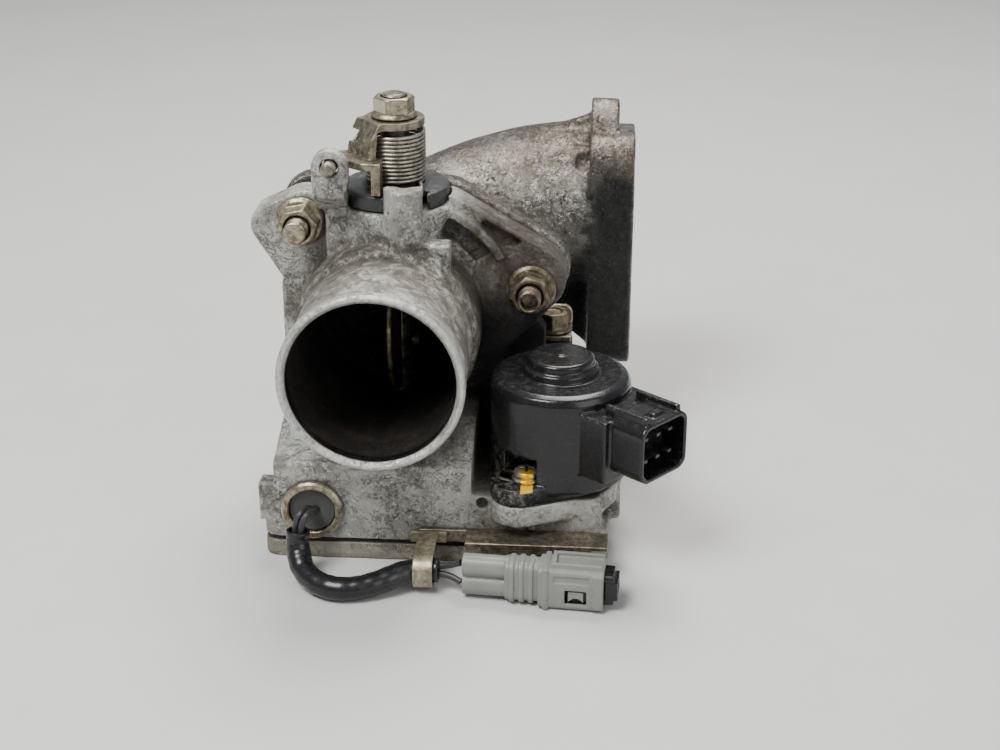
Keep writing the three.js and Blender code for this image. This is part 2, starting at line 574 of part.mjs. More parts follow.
// ---------------------------------------------------------------- drive motor
function motorHousing() {
  const { x, y, r, base, flange, top } = MOTOR;
  const ears = slab(motorFoot(), 'xy', base, flange);
  const can = turned('z', x, y, [
    [0, base], [r, base + 3], [r, top - 3], [r - 1, top - 1], [r - 3, top - 0.1], [12.8, top],
    [12.4, top + 2.4], [11.2, top + 3], [11, top + 5.2], [10.2, top + 5.9], [0, top + 5.9],
  ], 36);
  const nub = rod('z', x, y, top + 5, top + 6.4, 1.6, 16);
  const spigot = rod('z', x, y, 22, base + 1, 11.65, 28);
  const connector = atMotor(boxGeometry(8, 30.7, -12.8, 12.8, 36, 57.5));
  const rearBlock = atMotor(boxGeometry(14, 31, 10, 18.2, 38, 56.5));
  const shroud = atMotor(slabGeometry(roundedRect(-10.5, 12.5, 38.8, 59.3, 4.5), 'yz', 30, 44));
  const rails = [[-7.6, -5.6], [7.6, 9.6]].map(([b0, b1]) => atMotor(boxGeometry(26, 43, b0, b1, 56, 61.4)));
  const catchBump = atMotor(boxGeometry(38, 41, -1.5, 3.5, 58, 60.6));
  const socket = atMotor(slabGeometry(roundedRect(-8.9, 10.9, 40.4, 57.7, 3.2), 'yz', 33, 50));
  const [[frontX, frontY], [rearX, rearY]] = MOTOR_SCREWS;
  const screwRoom = [
    rod('z', frontX - 1, frontY + 0.6, flange, flange + 9, 6.6, 24),
    rod('z', rearX, rearY, flange, flange + 9, 6.6, 24),
  ];
  const slots = [
    slab(band([[frontX, frontY, 2.9], [frontX - 6.7, frontY + 3, 2.9]], 20), 'xy', base - 1, flange + 1),
    rod('z', rearX, rearY, base - 1, flange + 1, 2.9, 16),
  ];
  const inside = turned('z', x, y, [
    [0, 29], [13.2, 29], [13.2, 42], [20.3, 43.5], [20.3, 59], [4, 59], [4, 62], [0, 62],
  ], 32);
  const bearingSeat = rod('z', x, y, 20, 30, 8.3, 24);
  const outer = join(ears, can, nub, spigot, connector, rearBlock, shroud, ...rails, catchBump);
  return cut(outer, socket, ...screwRoom, ...slots, inside, bearingSeat);
}

function motorRotor() {
  const { x, y } = MOTOR;
  return turned('z', x, y, [
    [0, 8.4], [2.5, 8.4], [2.5, 43.5], [10.8, 43.5], [10.8, 57], [2.5, 57], [2.5, 61.5], [0, 61.5],
  ], 24);
}

function motorPinion() {
  const { x, y } = MOTOR;
  const teeth = gear({ x, y }, PINION_TEETH, FAST_MODULE, 8.6, 13.4, MESH_FAST + 180 / PINION_TEETH);
  const hub = rod('z', x, y, 13, 19, 4.6, 16);
  return cut(join(teeth, hub), rod('z', x, y, 5, 25, 2.7, 16));
}

function motorStator() {
  return ring('z', MOTOR.x, MOTOR.y, 44, 58.4, 11.4, 19.9, 32);
}

function pinHeader() {
  const plate = atMotor(slabGeometry(roundedRect(-8.5, 10.5, 40.8, 57.3, 3), 'yz', 33.3, 35));
  const pins = [];
  for (const row of [45.2, 52.9]) {
    for (const column of [-5, 1, 7]) {
      pins.push(atMotor(boxGeometry(34.5, 41.2, column - 0.9, column + 0.9, row - 0.5, row + 0.5)));
    }
  }
  return join(plate, ...pins);
}

function motorScrew([x, y]) {
  const z = MOTOR.flange + 0.3;
  const washer = rod('z', x, y, z, z + 1, 4.9, 20);
  const head = turned('z', x, y, [
    [0, z + 0.5], [4.3, z + 0.5], [4.4, z + 2.6], [3.4, z + 3.7], [0, z + 4],
  ], 20);
  const cross = join(block(x - 2.4, x + 2.4, y - 0.5, y + 0.5, z + 2.4, z + 5),
    block(x - 0.5, x + 0.5, y - 2.4, y + 2.4, z + 2.4, z + 5));
  return join(cut(join(washer, head), cross), rod('z', x, y, 20.5, z + 1, 1.9, 16));
}

// ---------------------------------------------------------------- joint and outlet elbow
function jointOutlines(grow) {
  return flangeOutline(FLANGE.r + grow, [-27.5, 106.5, 10.7 + grow], 11.5 + grow, 8.2 + grow * 0.5);
}

const GASKET_Y = FLANGE.back + 0.2;
const ELBOW_Y = GASKET_Y + JOINT.gasket + 0.2;

const JOINT_BOTTOM = 30.6; // the gear housing's step lies under the joint

function towerRelief() {
  return [
    block(-60, 60, 0, 20, 0, JOINT_BOTTOM),
    rod('z', SHAFT.x, 0, 103.7, 125, 11.8, 28),
    rod('z', SHAFT.x, 0, 113, 125, DRUM.r + 0.5, 36),
    rod('z', SHAFT.x, 0, 0, 34.8, 11.8, 28),
  ];
}

const JOINT_HOLES = [...Object.values(STUDS), ...Object.values(REAR_BOLTS)];

function jointGasket() {
  const from = GASKET_Y;
  const to = GASKET_Y + JOINT.gasket;
  const sheets = jointOutlines(-0.6).map((outline) => slab(outline, 'xz', from, to));
  const holes = JOINT_HOLES.map(([x, z]) => rod('y', x, z, 0, 20, 4.4, 20));
  return cut(join(...sheets), rod('y', 0, BORE.z, 0, 20, BORE.r + 0.6, 48), ...holes, ...towerRelief());
}

const DUCT = [
  [0, 14, 72], [0, 27, 72], [1.6, 42, 72.4], [7.4, 57, 73.8], [18.5, 69.5, 77.4], [33.5, 76.4, 81.6],
  [50, 79.4, 84.8], [OUTLET.x0 + 1, OUTLET.y, OUTLET.z],
].map(([x, y, z]) => new THREE.Vector3(x, y, z));

function ductCurve(first, last) {
  return new THREE.CatmullRomCurve3([first, ...DUCT.slice(1, -1), last]);
}

function outletFlange() {
  const { x0, x1, y } = OUTLET;
  const corners = [[y - 21.5, 40, 9], [y - 21.5, 110.5, 9], [y + 20, 103, 9], [y + 21.5, 40, 9]];
  const plate = slab(band(corners), 'yz', x0, x1);
  const topEar = slab(band([[y - 7, 119.5, 9.5], [y - 9, 104, 14]]), 'yz', x0, x0 + 10.5);
  return join(plate, topEar);
}

function elbow() {
  const { x0, x1, y, z, r } = OUTLET;
  const to = ELBOW_Y + JOINT.thick;
  const plates = jointOutlines(1).map((outline) => slab(outline, 'xz', ELBOW_Y, to));
  const outer = sweep(ductCurve(DUCT[0], DUCT.at(-1)), 31.8, 12, 24);
  const entry = new THREE.Vector3(0, 4, BORE.z);
  const exit = new THREE.Vector3(x1 + 6, y + 0.4, z + 0.6);
  const inner = sweep(ductCurve(entry, exit), 26.8, 14, 24);
  const upperRib = slab([[24, 100], [66, 100], [66, 122], [52, 117], [24, 104]], 'xz', y - 4, y + 2);
  const lowerRib = slab([[36, 60], [66, 33], [66, 58], [36, 64]], 'xz', y - 14, y - 6);
  const holes = JOINT_HOLES.map(([boltX, boltZ]) => rod('y', boltX, boltZ, 0, 30, 4.3, 16));
  const bolts = [[y - 22.5, 40.5], [y + 22.5, 40.5], [y + 23, 103], [y - 22.5, 110.5], [y - 7, 120.5]];
  const boltHoles = bolts.map(([boltY, boltZ]) => rod('x', boltY, boltZ, x0 - 5, x1 + 5, 4.2, 20));
  return cut(
    join(...plates, outer, upperRib, lowerRib, outletFlange()),
    inner,
    rod('x', y, z, x0 + 4, x1 + 5, r + 1.2, 28),
    ...holes,
    ...boltHoles,
    ...towerRelief(),
  );
}

function jointStud([x, z]) {
  const tip = -18.6;
  return turned('y', x, z, [
    [0, tip], [3.1, tip], [3.9, tip + 0.9], [3.9, 15], [0, 15],
  ], 16);
}

function flangeNut([x, z], turn) {
  const skirt = rod('y', x, z, FLANGE.front - 2, FLANGE.front - 0.3, 7.4, 36, 8.5);
  const bar = new THREE.CylinderGeometry(6.93, 6.93, 6.4, 6).rotateY(turn).translate(0, -9.9, 0);
  const hex = solid(aim(bar, 'y', x, z));
  const crown = turned('y', x, z, [[0, -13.1], [6, -13.1], [7.2, -12.3], [7.2, -5], [0, -5]], 16);
  return cut(join(skirt, hex.intersect(crown)), rod('y', x, z, -20, 0, 4.1, 16));
}

function rearBolt([x, z]) {
  const face = ELBOW_Y + JOINT.thick + 0.3;
  const hex = hexagon('y', x, z, face + 1, face + 7, 12);
  return join(hex, rod('y', x, z, face, face + 1.6, 8.2, 32, 7.4), rod('y', x, z, -2.5, face + 2, 3.85, 16));
}

// ---------------------------------------------------------------- stay bracket behind the motor
function stayBracket() {
  const base = STAY.top + GAP;
  const foot = block(47.4, 60.6, 9.6, 24.6, base, base + 2);
  const upright = slab(roundedRect(47.4, 60.6, 50, 67, 3), 'xz', 22.6, 24.6);
  const below = block(40, 70, 20, 30, 40, base);
  return cut(join(foot, cut(upright, below)), rod('z', STAY.x, STAY.y, 50, 70, 3.5, 20));
}

function stayBolt() {
  const z = STAY.top + 2.6;
  return join(
    rod('z', STAY.x, STAY.y, z, z + 1.4, 6.5, 20),
    hexagon('z', STAY.x, STAY.y, z + 1, z + 7, 10.5, 0.5),
    rod('z', STAY.x, STAY.y, 43, z + 1, 3.1, 20),
  );
}

// ---------------------------------------------------------------- fully-open position switch
function positionSwitch() {
  const { x, z, ringR, barrelR, pottingR } = SWITCH;
  return turned('y', x, z, [
    [0, -29.8], [0, -43], [pottingR + 0.2, -43], [pottingR + 0.2, -47.6], [ringR - 0.8, -47.6],
    [ringR, -46.8], [ringR, -45.3], [barrelR, -45.3], [barrelR, -29.8],
  ], 32);
}

function switchPotting() {
  const { x, z, pottingR } = SWITCH;
  const disc = turned('y', x, z, [[0, -45.7], [pottingR, -45.9], [pottingR, -43.3], [0, -43.3]], 28);
  const holes = [1, -1].map((side) => rod('y', x + side * WIRE.apart, z, -50, -44.4, WIRE.r + GAP, 16));
  return cut(disc, ...holes);
}

// ---------------------------------------------------------------- pigtail: two wires in a sleeve
const vectors = (points) => points.map(([x, y, z]) => new THREE.Vector3(x, y, z));

// From the switch the pair arches over and drops into the sleeve, which lies on the ground and rises again.
const OUT_OF_SWITCH = vectors([
  [-23.2, -44.8, 18.6], [-23.2, -47.2, 18.7], [-23.1, -49.6, 19.6], [-23.3, -52.6, 21.4], [-24.4, -55, 21.7],
  [-25.5, -56.2, 19.8],
]);
const THROUGH_SLEEVE = vectors([
  [-26.2, -56.7, 16.6], [-26.4, -57.2, 12.8], [-25.9, -58.9, 9.2], [-24, -63, 5.9], [-18.5, -69, 4.4],
  [-12, -72, 4.1], [-5, -71.4, 4.2], [2.5, -68.4, 5.2], [9.5, -64.8, 6.6], [15.8, -63.2, 7],
  [20.8, -63.2, 7.2],
]);
const OUT_OF_SLEEVE = vectors([[24.5, -64, 7.6], [28.2, -65.6, 8]]);

// A route parallel to a centre line: the offset is carried along it without twisting.
function beside(centre, offset, lift) {
  const side = new THREE.Vector3(1, 0, 0);
  return centre.map((point, i) => {
    const ahead = centre[Math.min(i + 1, centre.length - 1)];
    const behind = centre[Math.max(i - 1, 0)];
    const along = ahead.clone().sub(behind).normalize();
    side.addScaledVector(along, -side.dot(along)).normalize();
    const parting = i >= centre.length - OUT_OF_SLEEVE.length;
    const moved = point.clone().addScaledVector(side, parting ? offset * 0.4 : offset);
    moved.z += parting ? lift / (centre.length - i) : 0;
    return moved;
  });
}

function wire(side) {
  const centre = [...OUT_OF_SWITCH, ...THROUGH_SLEEVE, ...OUT_OF_SLEEVE];
  const route = beside(centre, side * WIRE.apart, side * 3);
  return sweep(new THREE.CatmullRomCurve3(route), WIRE.r, 36, 8);
}

function wireSleeve() {
  return sweep(new THREE.CatmullRomCurve3(THROUGH_SLEEVE), SLEEVE.r, 20, 8, SLEEVE.inner);
}

// A strip bent round the sleeve; it runs back to a wider head in front of the bracket's arm.
function cableClamp() {
  const { x0, x1, y, z, inner, outer } = CLAMP;
  const loop = ring('x', y, z, x0, x1, inner, outer, 24);
  const strip = block(x0, x1, y, -47.3, z + inner, z + outer);
  const head = block(x0 - 2.8, x1 + 2.8, -48.4, -47.3, z + 2, z + outer);
  const bore = rod('x', y, z, x0 - 1, x1 + 1, inner, 24);
  return cut(join(loop, strip, head), bore);
}

function connectorBracket() {
  const { x, x0, x1, z0, z1, front, screwZ } = BRACKET;
  const plate = block(x0, x1, front, -45.3, z0, z1);
  const lip = block(x0 + 8, x1 - 6, front, front + 1.6, z0 - 2, z1);
  const leg = block(x - 9, x + 9, -46.9, -45.3, 0.6, z1);
  const arm = block(CLAMP.x0, x0 + 1, -46.9, -45.3, z0 - 2.9, z1);
  return cut(join(plate, lip, leg, arm), rod('y', x, screwZ, -50, -40, 1.9, 16));
}

function bracketScrew() {
  const { x, screwZ } = BRACKET;
  return join(rod('y', x, screwZ, -49.2, -47.2, 2.3, 24, 2.4), rod('y', x, screwZ, -48, -39, 1.6, 16));
}

// Geometry in the connector's own frame: a runs along it from the wires, b across it and z as it is.
function atConnector(geometry) {
  geometry.rotateZ((CONNECTOR.turn * Math.PI) / 180);
  geometry.translate(CONNECTOR.x, CONNECTOR.y, 0);
  return solid(geometry);
}

function connectorShell() {
  const barrels = [4.6, 11.4].map((z) => {
    const barrel = new THREE.CylinderGeometry(3.7, 3.7, 15, 16).rotateZ(-Math.PI / 2);
    return atConnector(barrel.translate(7.5, 0, z));
  });
  const yoke = atConnector(slabGeometry(roundedRect(-4.6, 4.6, 0.8, 14.8, 3.2), 'yz', 14, 26));
  const ribs = [15.5, 18.6, 21.7].map((a) => (
    atConnector(slabGeometry(roundedRect(-5.3, 5.3, 0.4, 15.2, 3.4), 'yz', a, a + 1.5))
  ));
  const main = atConnector(slabGeometry(roundedRect(-6, 6, 0.4, 14.6, 1.8), 'yz', 25, 46));
  const channel = atConnector(boxGeometry(29, 45.5, -4.5, 4.5, 14, 16.4));
  const groove = atConnector(boxGeometry(30.5, 47, -3.2, 3.2, 15, 17));
  const frontWindow = atConnector(boxGeometry(34.5, 40, -7, -4, 3.2, 6.8));
  const mouth = atConnector(slabGeometry(roundedRect(-4.8, 4.8, 1.8, 13.2, 1.4), 'yz', 33, 48));
  return cut(join(...barrels, yoke, ...ribs, main, channel), groove, frontWindow, mouth);
}

function connectorInsert() {
  const core = atConnector(slabGeometry(roundedRect(-4.4, 4.4, 2.2, 12.8, 1.2), 'yz', 34, 49));
  const rim = atConnector(boxGeometry(46.4, 50.4, -4.6, 4.6, 4.4, 10.6));
  const hollow = atConnector(boxGeometry(44, 52, -2.6, 2.6, 5.6, 9.4));
  return cut(join(core, rim), hollow);
}

// ---------------------------------------------------------------- the assembly
add('throttle_body', throttleBody(), 'casting');
add('gear_cover', gearCover(), 'casting');
add('cover_gasket', coverGasket(), 'gasket');
COVER_SCREWS.forEach((place, i) => add(`cover_screw_${i + 1}`, coverScrew(place), 'zinc'));

add('throttle_shaft', throttleShaft(), 'steel');
add('throttle_plate', throttlePlate(), 'brass');
PLATE_SCREWS.forEach((z, i) => add(`plate_screw_${i + 1}`, plateScrew(z), 'steel'));
add('upper_bearing', ballBearing(104, 109), 'steel');
add('lower_bearing', ballBearing(24, 30), 'steel');
add('upper_seal', shaftSeal(109.4, 112.9), 'rubber');
add('lower_seal', shaftSeal(30.3, 33.7), 'rubber');
add('spring_drum', springDrum(), 'darkPlastic');
add('torsion_spring', torsionSpring(), 'spring');
add('lever', lever(), 'zinc');
add('shaft_nut', shaftNut(), 'zinc');
add('stop_screw', stopScrew(), 'steel');

add('throttle_gear', sectorGear(), 'nylon');
add('gear_nut', gearNut(), 'zinc');
add('intermediate_gear', idlerGear(), 'nylon');
add('intermediate_pin', idlerPin(), 'steel');

add('motor_housing', motorHousing(), 'blackPlastic');
add('motor_oring', ring('z', MOTOR.x, MOTOR.y, 23.3, 25.1, 11.95, 13.7, 28), 'rubber');
add('motor_bearing', ring('z', MOTOR.x, MOTOR.y, 22.5, 28, 2.7, 8.05, 24), 'steel');
add('motor_stator', motorStator(), 'copper');
add('motor_rotor', motorRotor(), 'steel');
add('motor_pinion', motorPinion(), 'brass');
add('motor_pin_header', pinHeader(), 'blackPlastic');
add('motor_screw_front', motorScrew(MOTOR_SCREWS[0]), 'zinc');
add('motor_screw_rear', motorScrew(MOTOR_SCREWS[1]), 'zinc');

add('elbow', elbow(), 'elbowCasting');
add('joint_gasket', jointGasket(), 'gasket');
for (const [side, turn] of [['left', 0.2], ['right', 0.75]]) {
  add(`stud_${side}`, jointStud(STUDS[side]), 'steel');
  add(`nut_${side}`, flangeNut(STUDS[side], turn), 'zinc');
  add(`joint_bolt_${side}`, rearBolt(REAR_BOLTS[side]), 'zinc');
}
add('stay_bracket', stayBracket(), 'zinc');
add('stay_bolt', stayBolt(), 'brass');

add('switch_body', positionSwitch(), 'zinc');
add('switch_potting', switchPotting(), 'greyPlastic');
add('wire_1', wire(1), 'rubber');
add('wire_2', wire(-1), 'rubber');
add('wire_sleeve', wireSleeve(), 'rubber');
add('cable_clamp', cableClamp(), 'zinc');
add('connector_bracket', connectorBracket(), 'zinc');
add('bracket_screw', bracketScrew(), 'zinc');
add('connector_shell', connectorShell(), 'greyPlastic');
add('connector_insert', connectorInsert(), 'blackPlastic');

export default part;
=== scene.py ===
"""Looks of the throttle body: castings, plated steel, moulded plastic and the pigtail."""
import math

import bmesh
import bpy
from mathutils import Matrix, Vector


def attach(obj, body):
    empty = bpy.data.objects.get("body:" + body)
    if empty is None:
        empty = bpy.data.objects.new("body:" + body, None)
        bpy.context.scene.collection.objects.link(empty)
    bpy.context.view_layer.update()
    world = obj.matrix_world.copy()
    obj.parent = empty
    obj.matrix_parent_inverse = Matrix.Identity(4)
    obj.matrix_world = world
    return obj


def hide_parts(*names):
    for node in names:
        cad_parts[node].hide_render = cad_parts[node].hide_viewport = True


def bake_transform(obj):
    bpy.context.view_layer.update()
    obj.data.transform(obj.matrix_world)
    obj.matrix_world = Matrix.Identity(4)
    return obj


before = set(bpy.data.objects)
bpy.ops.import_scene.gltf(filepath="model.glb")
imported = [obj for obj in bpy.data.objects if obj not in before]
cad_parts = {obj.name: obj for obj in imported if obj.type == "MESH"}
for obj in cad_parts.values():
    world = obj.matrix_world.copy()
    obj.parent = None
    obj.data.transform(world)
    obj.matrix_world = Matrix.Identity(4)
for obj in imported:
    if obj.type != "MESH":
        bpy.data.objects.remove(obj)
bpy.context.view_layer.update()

MM = 0.001

# ---------------------------------------------------------------- driving sizes, in millimetres
BORE_Z, BORE_R = 72, 27
BORE_ROOM = 0.45  # the bore is opened by this, so that the closed plate clears it
PLATE_SCREWS_Z = (62, 82)
SHAFT_X = 1.5
FLANGE_FRONT, FLANGE_BACK = -5, 7
STUDS = {"left": (-30.2, 105.7), "right": (47.2, 83.6)}
REAR_BOLTS = {"left": (-29.5, 39.5), "right": (31, 39.5)}
RIGHT_EAR = (47.5, 86.5)
ARCH_IN, ARCH_OUT, ARCH_FROM, ARCH_TO = 42.2, 45.4, 31, 66
LEVER_WALL = -140
MOTOR_X, MOTOR_Y, MOTOR_TURN = 58.3, -26, -40
MOTOR_BASE, MOTOR_FLANGE, MOTOR_TOP, MOTOR_R = 25.5, 31.3, 62.8, 23.4
MOTOR_SCREWS = [(48.2, -43.8), (71.4, -8.5)]
MOTOR_EARS = [(45.5, -43.5), (71.1, -8.5)]
COVER_SCREWS = [(-8, -38.5), (66, -37), (66, 27), (-29, 26)]
IDLER = (35.992, -5.941)
LUG_X, LUG_Z = -17.3, 129.2
SWITCH_X, SWITCH_Z = -23.2, 18.6
OUTLET_X0, OUTLET_X1, OUTLET_Y, OUTLET_Z = 65, 81.5, 80, 86
ELBOW_Y, ELBOW_THICK = 8, 8
STAY_X, STAY_Y, STAY_TOP = 54, 16, 58
CONNECTOR_X, CONNECTOR_Y, CONNECTOR_TURN = 29, -66, -4.3
WIRE_R, WIRE_APART = 1.1, 1.25
SLEEVE_R, SLEEVE_INNER = 3.9, 3.0


# ---------------------------------------------------------------- meshes, in millimetres
def new_object(name, verts, faces):
    data = bpy.data.meshes.new(name)
    data.from_pydata([tuple(c * MM for c in v) for v in verts], [], faces)
    work = bmesh.new()
    work.from_mesh(data)
    bmesh.ops.recalc_face_normals(work, faces=work.faces)
    work.to_mesh(data)
    work.free()
    made = bpy.data.objects.new(name, data)
    bpy.context.scene.collection.objects.link(made)
    return made


def place(axis, a, b, r, s, angle):
    """A point at radius r and angle round an axis through (a, b), s along it."""
    u, v = r * math.cos(angle), r * math.sin(angle)
    if axis == "x":
        return (s, a + u, b + v)
    if axis == "y":
        return (a + u, s, b + v)
    return (a + u, b + v, s)


def lathe(axis, a, b, profile, sides=96):
    """A closed turned solid; the profile lists (radius, place along the axis)."""
    verts, rings, faces = [], [], []
    for r, s in profile:
        if r < 1e-6:
            rings.append([len(verts)] * sides)
            verts.append(place(axis, a, b, 0, s, 0))
        else:
            rings.append(list(range(len(verts), len(verts) + sides)))
            verts += [place(axis, a, b, r, s, 2 * math.pi * k / sides) for k in range(sides)]
    for one, two in zip(rings, rings[1:] + rings[:1]):
        for k in range(sides):
            n = (k + 1) % sides
            quad = [one[k], one[n], two[n], two[k]]
            corners = list(dict.fromkeys(quad))
            if len(corners) > 2:
                faces.append(corners)
    return new_object("turned", verts, faces)


def rod(axis, a, b, lo, hi, r, sides=64, r_hi=None):
    return lathe(axis, a, b, [(0, lo), (r, lo), (r_hi or r, hi), (0, hi)], sides)


def ring(axis, a, b, lo, hi, inner, outer, sides=96):
    return lathe(axis, a, b, [(inner, lo), (outer, lo), (outer, hi), (inner, hi)], sides)


def prism(outline, plane, lo, hi):
    """An outline extruded: 'xy' rises along Z, 'xz' runs along Y and 'yz' along X."""
    lift = {"xy": lambda u, v, w: (u, v, w), "xz": lambda u, v, w: (u, w, v), "yz": lambda u, v,
            w: (w, u, v)}[plane]
    count = len(outline)
    verts = [lift(u, v, lo) for u, v in outline] + [lift(u, v, hi) for u, v in outline]
    faces = [list(range(count)), list(range(2 * count - 1, count - 1, -1))]
    faces += [[k, (k + 1) % count, (k + 1) % count + count, k + count] for k in range(count)]
    return new_object("prism", verts, faces)


def block(x0, x1, y0, y1, z0, z1):
    return prism([(x0, y0), (x1, y0), (x1, y1), (x0, y1)], "xy", z0, z1)


def band(circles, steps=64):
    """The outline of a rubber band round circles (u, v, r)."""
    points = sorted(
        (u + r * math.cos(2 * math.pi * k / steps), v + r * math.sin(2 * math.pi * k / steps))
        for u, v, r in circles
        for k in range(steps)
    )

    def half(run):
        chain = []
        for p in run:
            while len(chain) > 1:
                o, q = chain[-2], chain[-1]
                if (q[0] - o[0]) * (p[1] - o[1]) - (q[1] - o[1]) * (p[0] - o[0]) > 1e-7:
                    break
                chain.pop()
            chain.append(p)
        return chain[:-1]

    return half(points) + half(points[::-1])


def rounded(u0, u1, v0, v1, r, steps=32):
    return band([(u0 + r, v0 + r, r), (u1 - r, v0 + r, r), (u1 - r, v1 - r, r), (u0 + r, v1 - r, r)], steps)


def catmull(points, per_span):
    """A smooth curve through the points, centripetal as the CAD route's is."""
    pts = [Vector(p) for p in points]
    pts = [2 * pts[0] - pts[1]] + pts + [2 * pts[-1] - pts[-2]]
    out = []
    for p0, p1, p2, p3 in zip(pts, pts[1:], pts[2:], pts[3:]):
        t0 = 0
        t1 = t0 + max((p1 - p0).length, 1e-6) ** 0.5
        t2 = t1 + max((p2 - p1).length, 1e-6) ** 0.5
        t3 = t2 + max((p3 - p2).length, 1e-6) ** 0.5
        for k in range(per_span):
            t = t1 + (t2 - t1) * k / per_span
            a1 = (t1 - t) / (t1 - t0) * p0 + (t - t0) / (t1 - t0) * p1
            a2 = (t2 - t) / (t2 - t1) * p1 + (t - t1) / (t2 - t1) * p2
            a3 = (t3 - t) / (t3 - t2) * p2 + (t - t2) / (t3 - t2) * p3
            b1 = (t2 - t) / (t2 - t0) * a1 + (t - t0) / (t2 - t0) * a2
            b2 = (t3 - t) / (t3 - t1) * a2 + (t - t1) / (t3 - t1) * a3
            out.append((t2 - t) / (t2 - t1) * b1 + (t - t1) / (t2 - t1) * b2)
    return out + [pts[-2]]


def tube(route, r, sides=48, r_at=None):
    """A solid round bar along a list of points; r_at gives the radius at a share of its length."""
    verts, faces = [], []
    side = Vector((1, 0, 0)) if abs((route[1] - route[0]).normalized().x) < 0.9 else Vector((0, 1, 0))
    last = len(route) - 1
    for i, point in enumerate(route):
        along = (route[min(i + 1, last)] - route[max(i - 1, 0)]).normalized()
        side = (side - along * side.dot(along)).normalized()
        up = along.cross(side)
        radius = r_at(i / last) if r_at else r
        for k in range(sides):
            angle = 2 * math.pi * k / sides
            verts.append(tuple(point + radius * (math.cos(angle) * side + math.sin(angle) * up)))
    for i in range(last):
        for k in range(sides):
            n = (k + 1) % sides
            faces.append([i * sides + k, i * sides + n, (i + 1) * sides + n, (i + 1) * sides + k])
    faces.append(list(range(sides)))
    faces.append(list(range(last * sides, (last + 1) * sides)))
    return new_object("tube", verts, faces)


def turn_about(made, x, y, degrees):
    """Turns a piece made in its own frame about Z and puts that frame at (x, y)."""
    c, s = math.cos(math.radians(degrees)), math.sin(math.radians(degrees))
    for v in made.data.vertices:
        px, py = v.co.x, v.co.y
        v.co.x, v.co.y = x * MM + c * px - s * py, y * MM + s * px + c * py
    return made


# ---------------------------------------------------------------- joining, cutting and rounding
def bake(made, name=None):
    """Turns the modifiers into mesh."""
    bpy.context.view_layer.update()
    seen = made.evaluated_get(bpy.context.evaluated_depsgraph_get())
    data = bpy.data.meshes.new_from_object(seen)
    made.modifiers.clear()
    made.data = data
    if name:
        made.name = name
        data.name = name
    return made


def build(base, adds=(), cuts=(), meets=()):
    """Keeps what the base shares with each of meets, joins adds to it and then takes cuts away."""
    tools = [(t, "INTERSECT") for t in meets] + [(t, "UNION") for t in adds] + [(t,
                                                                                 "DIFFERENCE") for t in cuts]
    for tool, operation in tools:
        step = base.modifiers.new("step", "BOOLEAN")
        step.operation = operation
        step.solver = "MANIFOLD"
        step.object = tool
    bake(base)
    for tool, _ in tools:
        bpy.data.objects.remove(tool)
    return base


def skin(made, voxel, smooth=4, factor=0.5, ripple=0.0, ripple_size=6):
    """Rounds every edge as a mould does: an even mesh of the solid, smoothed, with a faint ripple."""
    even = made.modifiers.new("even", "REMESH")
    even.mode = "VOXEL"
    even.voxel_size = voxel * MM
    even.use_smooth_shade = True
    if smooth:
        soft = made.modifiers.new("soft", "SMOOTH")
        soft.iterations = smooth
        soft.factor = factor
    if ripple:
        cloud = bpy.data.textures.new("ripple", "CLOUDS")
        cloud.noise_scale = ripple_size * MM
        wave = made.modifiers.new("wave", "DISPLACE")
        wave.texture = cloud
        wave.texture_coords = "LOCAL"
        wave.strength = ripple * MM
        wave.mid_level = 0.75
    return bake(made)


def settle(made, name, nodes, look, body="housing"):
    """Names a finished piece, gives it its look and hands it to the frame."""
    made.name = name
    made.data.name = name
    made.data.materials.clear()
    made.data.materials.append(LOOKS[look])
    for face in made.data.polygons:
        face.use_smooth = True
        face.material_index = 0
    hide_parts(*nodes)
    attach(made, body)
    return made


